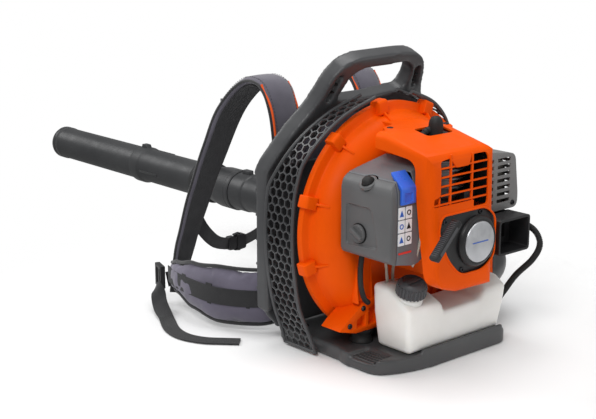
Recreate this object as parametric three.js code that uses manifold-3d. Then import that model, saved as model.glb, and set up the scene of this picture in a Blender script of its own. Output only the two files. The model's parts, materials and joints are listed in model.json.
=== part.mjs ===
// Backpack leaf blower: a petrol engine and a radial fan on a carrying frame with a harness,
// and an air hose and blower tubes on the operator's right.
// Millimetres, +Z up, +Y towards the operator's back, +X to the operator's right.
// The origin is the middle of the base plate's underside, on the ground.
import * as THREE from "three";
import { mergeVertices } from "three/addons/utils/BufferGeometryUtils.js";
import Module from "manifold-3d";

const wasm = await Module();
wasm.setup();

// ---------------------------------------------------------------- driving dimensions
const GAP = 0.4; // air between pieces that sit against each other
const WALL = 3; // moulded plastic wall

const BASE_TOP = 24; // base plate: height of its deck
const BASE_HALF = 140; // base plate: half width
const BASE_FRONT = 152; // base plate: front edge, under the back panel
const BASE_REAR = -120; // base plate: rear edge

const FAN_X = 6; // crankshaft and fan axis, along Y
const FAN_Z = 210;
const HOUSING_R = 198; // fan housing: outer radius at the rim
const RIM_Y = 42; // plane where the two housing halves meet
const HOUSING_REAR = -12; // rear wall of the outer half
const BOSS_REAR = -45; // central boss that carries the crankcase
const HOUSING_FLOOR = 48; // flat bottom of the fan housing
const IMPELLER_R = 150;

const FRAME_HALF = 188; // back frame: half width over the side rails
const FRAME_PANEL_Y = 128; // back panel: rear face
const SHOULDER_Z = 300; // height where the frame starts to lean back
const LEAN = THREE.MathUtils.degToRad(24); // lean of the shoulders and the carrying handle

const TUBE_X = 240; // blower tube axis, along Y
const TUBE_Z = 97;
const TUBE_R = 39; // blower tube: outer radius
const HOSE_R = 44; // hose and connector: outer radius
const TUBE_WALL = 2.6;
const ELBOW_START = 184; // X where the housing's outlet meets the elbow
const OUTLET_Y = -3; // outlet axis, along X
const BEND_R = TUBE_X - ELBOW_START; // elbow bend radius
const ELBOW_END = 96;
const RING_START = 198; // rigid ring between the two bellows
const RING_END = 222;
const CONNECTOR_START = 324;
const CONNECTOR_END = 722;
const MID_END = 1104;
const NOZZLE_END = 1466;

const ENGINE_Y = -78; // cylinder axis, along Z
const COVER_REAR = -160; // engine cover: rear face
const TANK_BOTTOM = BASE_TOP + GAP;

// ---------------------------------------------------------------- materials
const paint = (color, roughness = 0.6, metalness = 0) =>
  new THREE.MeshStandardMaterial({ color, roughness, metalness });
const MATERIAL = {
  orange: paint(0xf25a0c, 0.42),
  greyPlastic: paint(0x55565a, 0.55),
  lightGrey: paint(0x8b8d90, 0.5),
  blackPlastic: paint(0x1d1d1f, 0.5),
  rubber: paint(0x161616, 0.85),
  blue: paint(0x2f6ae0, 0.35),
  tank: paint(0xe9e7e1, 0.4),
  clearHose: paint(0xc9c0a8, 0.3),
  aluminium: paint(0xa9abad, 0.5, 0.9),
  steel: paint(0x8d8f92, 0.35, 1),
  castIron: paint(0x4b4b4d, 0.6, 0.8),
  badge: paint(0xd9dadb, 0.4),
  webbing: paint(0x202022, 0.9),
  fabric: paint(0x57545f, 0.95),
  paper: paint(0xd8cfae, 0.95),
};

// ---------------------------------------------------------------- solids
// A closed three.js geometry as a manifold solid, turned face out.
function solid(geometry) {
  const bare = geometry.index ? geometry.toNonIndexed() : geometry.clone();
  bare.deleteAttribute("normal");
  bare.deleteAttribute("uv");
  const merged = mergeVertices(bare, 1e-4);
  const triVerts = new Uint32Array(merged.index.array);
  const vertProperties = merged.attributes.position.array;
  const made = new wasm.Manifold(new wasm.Mesh({ numProp: 3, vertProperties, triVerts }));
  if (made.volume() > 0) return made;
  for (let i = 0; i < triVerts.length; i += 3) {
    [triVerts[i + 1], triVerts[i + 2]] = [triVerts[i + 2], triVerts[i + 1]];
  }
  return new wasm.Manifold(new wasm.Mesh({ numProp: 3, vertProperties, triVerts }));
}

function geometryOf(manifold) {
  const made = manifold.getMesh();
  const geometry = new THREE.BufferGeometry();
  geometry.setAttribute("position", new THREE.BufferAttribute(made.vertProperties, 3));
  geometry.setIndex(new THREE.BufferAttribute(made.triVerts, 1));
  geometry.computeVertexNormals();
  return geometry;
}

const join = (first, ...rest) => rest.reduce((sum, next) => sum.add(next), first);
const cut = (first, ...rest) => rest.reduce((left, next) => left.subtract(next), first);
const common = (first, ...rest) => rest.reduce((sum, next) => sum.intersect(next), first);

// Box between two corners.
function box([x0, y0, z0], [x1, y1, z1]) {
  const geometry = new THREE.BoxGeometry(x1 - x0, y1 - y0, z1 - z0);
  geometry.translate((x0 + x1) / 2, (y0 + y1) / 2, (z0 + z1) / 2);
  return solid(geometry);
}

// Outline through corners [u, v, radius], each corner rounded by its own or the common radius.
function outline(corners, radius = 0) {
  const shape = new THREE.Shape();
  const count = corners.length;
  corners.forEach(([u, v, r = radius], i) => {
    const corner = new THREE.Vector2(u, v);
    const before = new THREE.Vector2(...corners[(i + count - 1) % count]);
    const after = new THREE.Vector2(...corners[(i + 1) % count]);
    const reach = (other) =>
      corner.clone().lerp(other, Math.min(0.49, r / corner.distanceTo(other)));
    const start = r ? reach(before) : corner;
    if (i === 0) shape.moveTo(start.x, start.y);
    else shape.lineTo(start.x, start.y);
    if (r) {
      const end = reach(after);
      shape.quadraticCurveTo(u, v, end.x, end.y);
    }
  });
  shape.closePath();
  return shape;
}

function circle(radius, u = 0, v = 0) {
  const shape = new THREE.Shape();
  shape.absarc(u, v, radius, 0, 2 * Math.PI, false);
  return shape;
}

// Prism of an outline along X (outline in Y, Z), along Y (in X, Z) or along Z (in X, Y).
const DIRECTION = {
  X: [[0, 1, 0], [0, 0, 1], [1, 0, 0]],
  Y: [[1, 0, 0], [0, 0, 1], [0, -1, 0]],
  Z: [[1, 0, 0], [0, 1, 0], [0, 0, 1]],
};
function prism(shape, axis, from, to, curveSegments = 4) {
  const geometry = new THREE.ExtrudeGeometry(shape, {
    depth: to - from,
    bevelEnabled: false,
    curveSegments,
  });
  const [right, up, out] = DIRECTION[axis].map((v) => new THREE.Vector3(...v));
  geometry.applyMatrix4(new THREE.Matrix4().makeBasis(right, up, out));
  geometry.translate(...out.clone().multiplyScalar(axis === "Y" ? -to : from).toArray());
  return solid(geometry);
}

const cylinder = (axis, radius, from, to, u, v, segments = 10) =>
  prism(circle(radius, u, v), axis, from, to, segments);

// Solid of revolution: profile points are [radius, distance along the axis].
function turned(profile, origin, axis = [0, 1, 0], segments = 24) {
  const points = profile.map(([r, h]) => new THREE.Vector2(r, h));
  const geometry = new THREE.LatheGeometry(points, segments);
  const up = new THREE.Vector3(0, 1, 0);
  const turn = new THREE.Quaternion().setFromUnitVectors(up, new THREE.Vector3(...axis).normalize());
  geometry.applyQuaternion(turn);
  geometry.translate(...origin);
  return solid(geometry);
}

// Solid skin over rings of points, all with the same count, closed at both ends.
function loft(rings) {
  const count = rings[0].length;
  const position = rings.flat().flatMap((p) => p.toArray());
  const index = [];
  for (let i = 0; i < rings.length - 1; i++) {
    for (let j = 0; j < count; j++) {
      const a = i * count + j;
      const b = i * count + ((j + 1) % count);
      index.push(a, b, b + count, a, b + count, a + count);
    }
  }
  const last = (rings.length - 1) * count;
  for (let j = 1; j < count - 1; j++) {
    index.push(0, j + 1, j, last, last + j, last + j + 1);
  }
  const geometry = new THREE.BufferGeometry();
  geometry.setAttribute("position", new THREE.Float32BufferAttribute(position, 3));
  geometry.setIndex(index);
  return solid(geometry);
}

// Round rod along a smooth curve through points.
function rod(points, radius, sides = 8, steps = 4 * points.length) {
  const curve = new THREE.CatmullRomCurve3(points.map((p) => new THREE.Vector3(...p)));
  const section = outline(
    Array.from({ length: sides }, (_, i) => {
      const angle = (i / sides) * 2 * Math.PI;
      return [radius * Math.cos(angle), radius * Math.sin(angle)];
    }),
  );
  return solid(new THREE.ExtrudeGeometry(section, { steps, extrudePath: curve }));
}

// Flat band along a smooth curve: stations are [x, y, z, width, thickness]. Its width lies
// along the given direction, and its corners are chamfered.
function band(stations, across, steps = 16, acrossEnd = across, turnOver = 1) {
  const path = new THREE.CatmullRomCurve3(stations.map(([x, y, z]) => new THREE.Vector3(x, y, z)));
  const sizes = new THREE.CatmullRomCurve3(
    stations.map(([, , , width, thickness]) => new THREE.Vector3(width, thickness, 0)),
  );
  const widthAt = (t) =>
    new THREE.Vector3(...across).lerp(new THREE.Vector3(...acrossEnd), Math.min(1, t / turnOver));
  const rings = [];
  for (let i = 0; i <= steps; i++) {
    const t = i / steps;
    const along = path.getTangent(t);
    const normal = new THREE.Vector3().crossVectors(along, widthAt(t)).normalize();
    const side = new THREE.Vector3().crossVectors(normal, along).normalize();
    const size = sizes.getPoint(t);
    const [w, h] = [size.x / 2, size.y / 2];
    const c = Math.min(w, h) * 0.7;
    const corners = [
      [-w, -h + c],
      [-w + c, -h],
      [w - c, -h],
      [w, -h + c],
      [w, h - c],
      [w - c, h],
      [-w + c, h],
      [-w, h - c],
    ];
    rings.push(
      corners.map(([a, b]) => path.getPoint(t).addScaledVector(side, a).addScaledVector(normal, b)),
    );
  }
  return loft(rings);
}

const part = new THREE.Group();
part.name = "backpack_blower";
function node(name, manifold, material) {
  const mesh = new THREE.Mesh(geometryOf(manifold), material);
  mesh.name = name;
  part.add(mesh);
}

// ---------------------------------------------------------------- base plate
function basePlate() {
  const deck = outline([
    [-BASE_HALF, BASE_FRONT, 14],
    [-BASE_HALF, -2, 4],
    [-146, -18, 8],
    [-144, -88, 26],
    [-112, -106, 20],
    [-60, BASE_REAR, 20],
    [BASE_HALF, BASE_REAR, 16],
    [BASE_HALF, BASE_FRONT, 14],
  ]);
  const lip = box([-64, BASE_REAR + 2, BASE_TOP - 1], [BASE_HALF - 10, BASE_REAR + 9, BASE_TOP + 8]);
  let plate = join(prism(deck, "Z", 0, BASE_TOP), lip);
  // grooved foot rest at the rear left corner
  plate = cut(plate, box([-150, -84, 15], [-102, -30, 40]));
  for (let x = -140; x < -104; x += 8) {
    plate = join(plate, box([x, -83, 14], [x + 3, -31, 17]));
  }
  // ribbed underside: four pockets round a cross
  return cut(
    plate,
    box([-126, 10, -1], [-10, 138, 18]),
    box([10, 10, -1], [126, 138, 18]),
    box([-82, -104, -1], [-10, -10, 18]),
    box([10, -104, -1], [126, -10, 18]),
  );
}

// ---------------------------------------------------------------- back frame
// Point of the leaning plane: v runs up its slope from the shoulder height.

function leaningPrism(shape, back, front, curveSegments = 4) {
  const geometry = new THREE.ExtrudeGeometry(shape, {
    depth: front - back,
    bevelEnabled: false,
    curveSegments,
  });
  geometry.translate(0, 0, -front);
  const up = new THREE.Vector3(0, -Math.sin(LEAN), Math.cos(LEAN));
  const out = new THREE.Vector3(0, -Math.cos(LEAN), -Math.sin(LEAN));
  geometry.applyMatrix4(new THREE.Matrix4().makeBasis(new THREE.Vector3(1, 0, 0), up, out));
  geometry.translate(0, FRAME_PANEL_Y + 12, SHOULDER_Z);
  return solid(geometry);
}

function backFrame() {
  const low = BASE_TOP + GAP;
  const panel = outline([
    [-FRAME_HALF + 34, low],
    [-FRAME_HALF, 62, 20],
    [-FRAME_HALF, SHOULDER_Z + 6],
    [FRAME_HALF, SHOULDER_Z + 6],
    [FRAME_HALF, 62, 20],
    [FRAME_HALF - 34, low],
  ]);
  let frame = prism(panel, "Y", FRAME_PANEL_Y + 5, FRAME_PANEL_Y + 12);
  for (const side of [-1, 1]) {
    const rail = outline([
      [side * (FRAME_HALF - 24), 66, 6],
      [side * FRAME_HALF, 60, 10],
      [side * FRAME_HALF, SHOULDER_Z + 4],
      [side * (FRAME_HALF - 24), SHOULDER_Z + 4],
    ]);
    frame = join(frame, prism(rail, "Y", FRAME_PANEL_Y - 4, BASE_FRONT));
  }
  // shoulders and carrying handle in one leaning arch
  const arch = outline([
    [-FRAME_HALF, -14],
    [-FRAME_HALF + 1, 12, 14],
    [-156, 78, 40],
    [-122, 122, 26],
    [-104, 180, 30],
    [-72, 205, 30],
    [70, 208, 40],
    [106, 188, 26],
    [120, 124, 26],
    [156, 78, 40],
    [FRAME_HALF - 1, 12, 14],
    [FRAME_HALF, -14],
    [152, -14],
    [140, 34, 30],
    [104, 82, 40],
    [0, 108, 90],
    [-104, 82, 40],
    [-140, 34, 30],
    [-152, -14],
  ]);
  const loop = outline(
    [
      [-80, 128],
      [-64, 172],
      [-42, 185],
      [62, 188],
      [82, 168],
      [74, 134],
      [0, 128],
    ],
    12,
  );
  frame = join(frame, cut(leaningPrism(arch, -16, 14), leaningPrism(loop, -20, 20)));
  const slots = [
    outline([[-104, 128], [-92, 176], [-81, 178], [-92, 128]], 5),
    outline([[86, 176], [96, 178], [104, 136], [92, 134]], 5),
  ];
  return cut(frame, ...slots.map((slot) => leaningPrism(slot, -20, -6)));
}

// Air intake screen at one side: a honeycomb strip bent round the fan housing.
const CELL_PITCH = 34;
const CELL_R = 16;
const SCREEN_WALL = 3;
function intakeScreen(side) {
  const path = new THREE.CatmullRomCurve3(
    [
      [-150, 3],
      [-160, 34],
      [-178, 84],
      [-189, 150],
      [-192, 220],
      [-183, 290],
      [-154, 350],
      [-104, 394],
      [-40, 420],
    ].map(([x, z]) => new THREE.Vector3(x, 0, z)),
  );
  const length = path.getLength();
  const pointAt = (s) => path.getPointAt(Math.min(1, Math.max(0, s / length)));
  const frontEdge = (s) => {
    const height = pointAt(s).z;
    const lean = height < SHOULDER_Z - 20 ? 0 : (height - SHOULDER_Z + 20) * Math.tan(LEAN);
    return FRAME_PANEL_Y - 8 - lean;
  };
  const rearEdge = (s) => (s < 90 ? 40 + s / 9 : 50 - Math.max(0, pointAt(s).z - 320) * 0.3);
  const frameAt = (s) => {
    const along = path.getTangentAt(Math.min(1, Math.max(0, s / length)));
    return { at: pointAt(s), along, out: new THREE.Vector3(-along.z, 0, along.x) };
  };
  const rings = [];
  const steps = 18;
  for (let i = 0; i <= steps; i++) {
    const s = (length * i) / steps;
    const { at, out } = frameAt(s);
    const corner = (y, depth) => at.clone().addScaledVector(out, depth).setY(y);
    const [rear, front] = [rearEdge(s), frontEdge(s)];
    rings.push([
      corner(rear, 0),
      corner(front, 0),
      corner(front, SCREEN_WALL),
      corner(rear, SCREEN_WALL),
    ]);
  }
  let screen = loft(rings);
  const cell = outline(
    Array.from({ length: 6 }, (_, k) => {
      const angle = (k * Math.PI) / 3;
      return [CELL_R * Math.cos(angle), CELL_R * Math.sin(angle)];
    }),
  );
  const hole = new THREE.ExtrudeGeometry(cell, { depth: 4 * SCREEN_WALL, bevelEnabled: false });
  hole.translate(0, 0, -1.5 * SCREEN_WALL);
  const rowHeight = (CELL_PITCH * Math.sqrt(3)) / 2;
  for (let row = 0; row < length / rowHeight - 1; row++) {
    const s = 20 + row * rowHeight;
    for (let y = 36 + (row % 2) * (CELL_PITCH / 2); y < 130; y += CELL_PITCH) {
      const fits = y - CELL_R > rearEdge(s) + 1 && y + CELL_R < frontEdge(s) - 1;
      if (!fits || s + CELL_R > length - 3) continue;
      const { at, along, out } = frameAt(s);
      const turn = new THREE.Matrix4().makeBasis(along, new THREE.Vector3(0, 1, 0), out);
      const placed = hole.clone().applyMatrix4(turn).translate(at.x, y, at.z);
      screen = cut(screen, solid(placed));
    }
  }
  return side < 0 ? screen : screen.mirror([1, 0, 0]);
}

// ---------------------------------------------------------------- fan housing
const atAxis = [FAN_X, 0, FAN_Z];
const aboveFloor = (z) => box([-400, -400, z], [400, 400, 800]);

// Outside of the outer half, grown by a clearance where another piece has to fit against it.
function housingBody(grow = 0) {
  const shell = turned(
    [
      [0, HOUSING_REAR - grow],
      [128 + grow, HOUSING_REAR - grow],
      [150 + grow, -8 - grow],
      [168 + grow, 3 - grow],
      [181 + grow, 20 - grow],
      [184 + grow, RIM_Y - 14],
      [HOUSING_R + grow, RIM_Y - 12 - grow],
      [HOUSING_R + grow, RIM_Y],
      [0, RIM_Y],
    ],
    atAxis,
    [0, 1, 0],
    32,
  );
  return join(shell, cylinder("Y", 40 + grow, BOSS_REAR, 0, FAN_X, FAN_Z));
}

function outerHousing() {
  const shell = housingBody();
  const cavity = turned(
    [
      [0, HOUSING_REAR + 4],
      [126, HOUSING_REAR + 4],
      [148, -4],
      [165, 6],
      [176, 22],
      [176, RIM_Y + 1],
      [0, RIM_Y + 1],
    ],
    atAxis,
    [0, 1, 0],
    32,
  );
  // bolted lugs round the rim
  let lugs = null;
  for (const angle of [195, 163, 131, 99, 67, 35, 3]) {
    const lug = box([HOUSING_R - 16, RIM_Y - 26, -13], [HOUSING_R + 9, RIM_Y - 2, 13]);
    const placed = lug.rotate([0, -angle, 0]).translate([FAN_X, 0, FAN_Z]);
    lugs = lugs ? join(lugs, placed) : placed;
  }
  // ribbed feet on the rubber mounts
  const foot = (side) => {
    const web = [
      [side * 156, HOUSING_FLOOR + 12],
      [side * 150, HOUSING_FLOOR + 22],
      [side * 62, HOUSING_FLOOR + 60],
      [side * 62, HOUSING_FLOOR],
      [side * 120, HOUSING_FLOOR],
    ];
    return prism(outline(web), "Y", -20, 24);
  };
  const horn = cylinder("X", HOSE_R, 146, ELBOW_START - GAP, OUTLET_Y, TUBE_Z, 12);
  const flange = prism(
    outline(
      [
        [OUTLET_Y - HOSE_R, TUBE_Z - 46],
        [OUTLET_Y + HOSE_R, TUBE_Z - 46],
        [OUTLET_Y + HOSE_R, TUBE_Z + 50],
        [OUTLET_Y - HOSE_R, TUBE_Z + 50],
      ],
      14,
    ),
    "X",
    ELBOW_START - 14,
    ELBOW_START - GAP,
  );
  let body = join(shell, lugs, foot(-1), foot(1), horn, flange);
  body = common(body, aboveFloor(HOUSING_FLOOR));
  body = cut(body, common(cavity, aboveFloor(HOUSING_FLOOR + 4)));
  body = cut(body, cylinder("X", HOSE_R - 4, 150, ELBOW_START + 5, OUTLET_Y, TUBE_Z, 12));
  // room for the elbow beside the rim
  body = cut(body, box([ELBOW_START - GAP, -60, 40], [ELBOW_START + 40, RIM_Y + 10, TUBE_Z + 52]));
  return cut(body, cylinder("Y", 14, -60, 0, FAN_X, FAN_Z));
}

function innerHousing() {
  const y = RIM_Y + GAP;
  const shell = turned(
    [
      [0, y],
      [182, y],
      [182, y + 14],
      [170, y + 26],
      [128, y + 28],
      [112, y + 36],
      [0, y + 36],
    ],
    atAxis,
    [0, 1, 0],
    32,
  );
  const cavity = turned(
    [
      [0, y - 1],
      [176, y - 1],
      [176, y + 11],
      [167, y + 22],
      [116, y + 24],
      [0, y + 24],
    ],
    atAxis,
    [0, 1, 0],
    32,
  );
  const inlet = turned([[0, y], [96, y], [106, y + 40], [0, y + 40]], atAxis, [0, 1, 0], 32);
  const open = common(cavity, aboveFloor(HOUSING_FLOOR + 4));
  return cut(common(shell, aboveFloor(HOUSING_FLOOR)), open, inlet);
}

function impeller() {
  let wheel = turned(
    [
      [8.4, 0],
      [IMPELLER_R, 0],
      [IMPELLER_R, 4],
      [34, 4],
      [26, 32],
      [8.4, 32],
      [8.4, 0],
    ],
    atAxis,
    [0, 1, 0],
    24,
  );
  const blades = 10;
  for (let i = 0; i < blades; i++) {
    const blade = [];
    for (const side of [-1.5, 1.5]) {
      const radii = side < 0 ? [56, 104, IMPELLER_R - 3] : [IMPELLER_R - 3, 104, 56];
      for (const r of radii) {
        const sweep = -((r - 56) / 94) * 0.5;
        blade.push([r * Math.cos(sweep) - side * Math.sin(sweep), r * Math.sin(sweep) + side]);
      }
    }
    const solidBlade = prism(outline(blade), "Y", 3, 58)
      .rotate([0, (i * 360) / blades, 0])
      .translate([FAN_X, 0, FAN_Z]);
    wheel = join(wheel, solidBlade);
  }
  return wheel;
}

// ---------------------------------------------------------------- engine
function crankcase() {
  const body = prism(
    outline(
      [
        [FAN_X - 42, FAN_Z - 42],
        [FAN_X + 42, FAN_Z - 42],
        [FAN_X + 42, FAN_Z + 30],
        [FAN_X + 34, FAN_Z + 42],
        [FAN_X - 34, FAN_Z + 42],
        [FAN_X - 42, FAN_Z + 30],
      ],
      8,
    ),
    "Y",
    -106,
    BOSS_REAR - GAP,
  );
  return cut(
    body,
    cylinder("Y", 12.8, -120, -40, FAN_X, FAN_Z, 6),
    cylinder("Y", 37, -97, -59, FAN_X, FAN_Z, 8),
    cylinder("Z", 21.5, FAN_Z, FAN_Z + 60, FAN_X, ENGINE_Y, 8),
  );
}

function crankshaft() {
  const pinOffset = 16;
  const shaft = (radius, from, to, lift = 0) =>
    cylinder("Y", radius, from, to, FAN_X, FAN_Z + lift, 6);
  return join(
    shaft(8, -46, 30),
    shaft(12, -72, -45),
    shaft(34, -72, -62),
    shaft(8, -86, -70, -pinOffset),
    shaft(34, -94, -84),
    shaft(12, -108, -93),
    shaft(8, -132, -107),
  );
}

function cylinderHead() {
  const low = FAN_Z + 42 + GAP;
  const profile = [[21.5, low], [34, low]];
  const fins = 6;
  for (let i = 0; i < fins; i++) {
    const z = low + 6 + i * 14;
    profile.push([30, z], [40, z + 0.6], [40, z + 4.4], [30, z + 5]);
  }
  profile.push([30, low + 92], [5, low + 92], [5, low + 82], [21.5, low + 78], [21.5, low]);
  return turned(profile, [FAN_X, ENGINE_Y, 0], [0, 0, 1], 16);
}

function sparkPlug() {
  const low = FAN_Z + 42 + GAP + 92 + GAP;
  return turned(
    [
      [0, low - 10],
      [4.5, low - 10],
      [4.5, low],
      [9, low],
      [9, low + 6],
      [5, low + 8],
      [4, low + 24],
      [0, low + 24],
    ],
    [FAN_X, ENGINE_Y, 0],
    [0, 0, 1],
    12,
  );
}

// rubber boot over the plug, with a tall dome beside it that stands out of the cover
function plugBoot() {
  const low = FAN_Z + 42 + GAP + 92 + 10;
  const over = (x, profile) => turned(profile, [x, ENGINE_Y, 0], [0, 0, 1], 14);
  const cap = over(FAN_X, [[0, low], [12, low], [12, low + 18], [0, low + 22]]);
  const dome = over(FAN_X - 12, [
    [0, low + 2],
    [12, low + 2],
    [12, low + 34],
    [10, low + 41],
    [5, low + 45],
    [0, low + 45],
  ]);
  const bore = over(FAN_X, [[0, low - 1], [9.5, low - 1], [5.5, low + 17], [0, low + 18]]);
  const lead = rod(
    [
      [FAN_X - 14, ENGINE_Y + 2, low + 25],
      [FAN_X - 27, ENGINE_Y + 6, low + 21],
      [FAN_X - 36, ENGINE_Y + 9, low + 12],
    ],
    6,
  );
  return cut(join(cap, dome, lead), bore);
}

const STARTER_OPENING = [
  [-82, 236, 10],
  [-76, 264, 12],
  [26, 264, 14],
  [49.4, 244, 12],
  [49.4, 178, 14],
  [22, 160, 14],
  [-30, 160, 16],
  [-60, 190, 16],
];
function engineCover() {
  const rear = COVER_REAR;
  const face = (inset) =>
    outline([
      [-76 + inset, 146 + (inset ? -20 : 0), inset ? 0 : 10],
      [-34 + inset, 133 + (inset ? -20 : 0), inset ? 0 : 6],
      [53 - inset, 131 + (inset ? -20 : 0), inset ? 0 : 6],
      [55 - inset, 200, 30],
      [49 - inset, 392 - inset, 16],
      [-104 + inset, 392 - inset, 16],
      [-104 + inset, 340, 10],
      [-92 + inset, 225, 20],
    ]);
  const side = (inset) =>
    outline([
      [30, 100],
      [rear + 4 + inset, 100],
      [rear + inset, 160],
      [rear + inset, 350, 8],
      [rear + 8 + inset, 362 - inset, 6],
      [-45, 384 - inset],
      [30, 384 - inset],
    ]);
  // the filter box stands in a notch, and the front left corner is stepped back
  const notch = (grow) => {
    const corner = outline([
      [-400, -44 - grow],
      [-84, -44 - grow],
      [-76, -26 - grow],
      [-48 + grow, -18 - grow],
      [-40 + grow, 100],
      [-400, 100],
    ]);
    const space = outline([
      [rear + 31 - grow, -10],
      [rear + 31 - grow, 346 + grow, 14],
      [-30, 357 + grow],
      [100, 357 + grow],
      [100, -10],
    ]);
    return join(prism(space, "X", -400, -59 + grow), prism(corner, "Z", 100, 420));
  };
  let cover = common(prism(face(0), "Y", rear - 10, RIM_Y - 26 - GAP), prism(side(0), "X", -120, 60));
  cover = cut(cover, notch(0));
  let inside = common(prism(face(WALL), "Y", rear - 10, 30), prism(side(WALL), "X", -120, 60));
  inside = cut(inside, notch(WALL));
  cover = cut(cover, inside, housingBody(GAP));
  cover = cut(cover, box([-70, -108, 222], [-50, -52, 296]));
  cover = cut(cover, box([-72, rear + 30, 100], [-34, 60, 156]));
  // cooling grille in the rear wall: left, right, first row and last row of each column
  for (const [left, right, first, last] of [[-78, -57, 1, 5], [-52, -9, 1, 4], [-4, 27, 0, 5]]) {
    for (let row = first; row <= last; row++) {
      const z = 268.5 + row * 14;
      cover = cut(cover, box([left, rear - 5, z], [right, rear + 8, z + 11]));
    }
  }
  // opening for the recoil starter
  cover = cut(cover, prism(outline(STARTER_OPENING), "Y", rear - 5, rear + 12));
  // hole for the plug boot in the top
  return cut(cover, box([FAN_X - 46, ENGINE_Y - 15, 345], [FAN_X + 15, ENGINE_Y + 18, 400]));
}

function starterHousing() {
  const front = COVER_REAR - 6;
  let shell = turned(
    [
      [0, front],
      [36, front],
      [42, front + 4],
      [37, front + 16],
      [37, -132],
      [0, -132],
    ],
    atAxis,
    [0, 1, 0],
    32,
  );
  const mouth = prism(
    outline(
      [
        [FAN_X - 56, FAN_Z + 8],
        [FAN_X - 40, FAN_Z + 34],
        [FAN_X - 20, FAN_Z + 34],
        [FAN_X - 20, FAN_Z - 10],
        [FAN_X - 48, FAN_Z - 6],
      ],
      6,
    ),
    "Y",
    front + 12,
    -136,
  );
  // plate behind the cover's opening, with the hole where the rope comes out
  const middle = [-18, 214];
  const plate = outline(
    STARTER_OPENING.map(([x, z, r]) => [
      middle[0] + (x - middle[0]) * 1.04,
      middle[1] + (z - middle[1]) * 1.04,
      r,
    ]),
  );
  const backing = prism(plate, "Y", COVER_REAR + WALL + GAP, -150);
  shell = join(shell, mouth, common(backing, box([-200, -200, 0], [50, 0, 500])));
  shell = cut(shell, box([-61, -170, FAN_Z + 11], [-47, -140, FAN_Z + 26]));
  return cut(
    shell,
    cylinder("Y", 33, front + 8, -120, FAN_X, FAN_Z, 12),
    cylinder("X", 3.4, -80, FAN_X, -145, FAN_Z + 16, 6),
  );
}

function pullGrip() {
  const half = 35;
  const grip = outline(
    [
      [-half, -9],
      [half, -9],
      [half + 2, 0],
      [half - 6, 9],
      [-half + 6, 9],
      [-half - 2, 0],
    ],
    3,
  );
  const turnDegrees = -46;
  return prism(grip, "Y", -196, -174)
    .rotate([0, turnDegrees, 0])
    .translate([-96, 0, FAN_Z + 24]);
}

function carburettor() {
  return cut(
    join(
      box([-61, -100, 228], [-42, -58, 276]),
      cylinder("X", 9, -60, -41, -79, 280, 6),
      box([-58, -104, 240], [-46, -98, 256]),
    ),
    cylinder("X", 13, -70, -30, ENGINE_Y, 250, 6),
  );
}

// ---------------------------------------------------------------- air filter box
const FILTER_LEFT = -152;
const FILTER_RIGHT = -62;
const FILTER_SPLIT = -138;
function filterOutline(inset) {
  const lowEdge = outline([
    [FILTER_LEFT + inset, 192 + inset, 10],
    [FILTER_LEFT + inset, 306 - inset, 12],
    [-140, 319 - inset, 8],
    [FILTER_RIGHT - inset, 341 - inset, 6],
    [FILTER_RIGHT - inset, 205 + inset, 6],
    [-92, 180 + inset, 10],
  ]);
  const sideFace = outline([
    [-16 - inset, 170, 0],
    [-16 - inset, 318 - inset, 10],
    [-30, 345, 2],
    [-110, 345, 2],
    [-127 + inset, 304 - inset, 10],
    [-127 + inset, 194, 14],
    [-118, 170, 0],
  ]);
  return common(prism(lowEdge, "Y", -140, 0), prism(sideFace, "X", -160, -50));
}

// Direction in which the primer bulb stands out of the top left edge.
const PRIMER_AT = [-146, -70, 312];
const PRIMER_AXIS = [-0.55, 0, 0.835];
function primerSocket(radius, from, to) {
  return turned([[0, from], [radius, from], [radius, to], [0, to]], PRIMER_AT, PRIMER_AXIS, 16);
}

function filterCover() {
  const half = box([-200, -200, 0], [FILTER_SPLIT - GAP, 50, 500]);
  let cover = cut(common(filterOutline(0), half), common(filterOutline(WALL), half));
  // recessed panel round the knob
  cover = join(cover, box([FILTER_LEFT + 2, -104, 202], [FILTER_LEFT + 7, -23, 278]));
  const recess = outline([[-27, 207, 6], [-27, 273, 6], [-82, 273, 8], [-98, 211, 8]]);
  cover = cut(cover, prism(recess, "X", FILTER_LEFT - 5, FILTER_LEFT + 4));
  cover = cut(cover, cylinder("X", 4.5, -170, -130, -52, 226, 6));
  cover = join(cover, common(primerSocket(16, -13, 0), half, filterOutline(0)));
  return cut(cover, primerSocket(11, -10, 20));
}

function filterBase() {
  const half = box([FILTER_SPLIT, -200, 0], [0, 50, 500]);
  let base = cut(
    common(filterOutline(0), half),
    common(filterOutline(WALL), box([-200, -200, 0], [FILTER_RIGHT - WALL, 50, 500])),
  );
  base = cut(base, primerSocket(17, -16, 20));
  // pocket of the choke lever, and the intake port to the carburettor
  const pocket = outline([
    [-140, 283.5],
    [-126, 283.5],
    [-126, 305],
    [-106, 327],
    [-106, 350],
    [-140, 350],
  ]);
  base = cut(base, prism(pocket, "X", -134.5, -101.5));
  return cut(base, cylinder("X", 14, -90, -50, ENGINE_Y, 250, 6));
}

function filterElement() {
  let element = box([-128, -112, 206], [-74, -34, 296]);
  for (let z = 212; z < 292; z += 10) {
    element = cut(element, box([-130, -120, z], [-123, -30, z + 4]));
  }
  return element;
}

function chokeLever() {
  const profile = outline([
    [-126.5, 284],
    [-126.5, 305.5],
    [-106.5, 327.5],
    [-106.5, 332],
    [-131, 310, 3],
    [-131, 284],
  ]);
  const plate = prism(profile, "X", -134, -103);
  return cut(plate, box([-126, -140, 288], [-110, -129, 301]));
}

function primerBulb() {
  return turned(
    [[0, -5], [9, -5], [10, 0], [9, 5], [5.5, 8.6], [0, 10]],
    PRIMER_AT,
    PRIMER_AXIS,
    16,
  );
}

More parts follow.
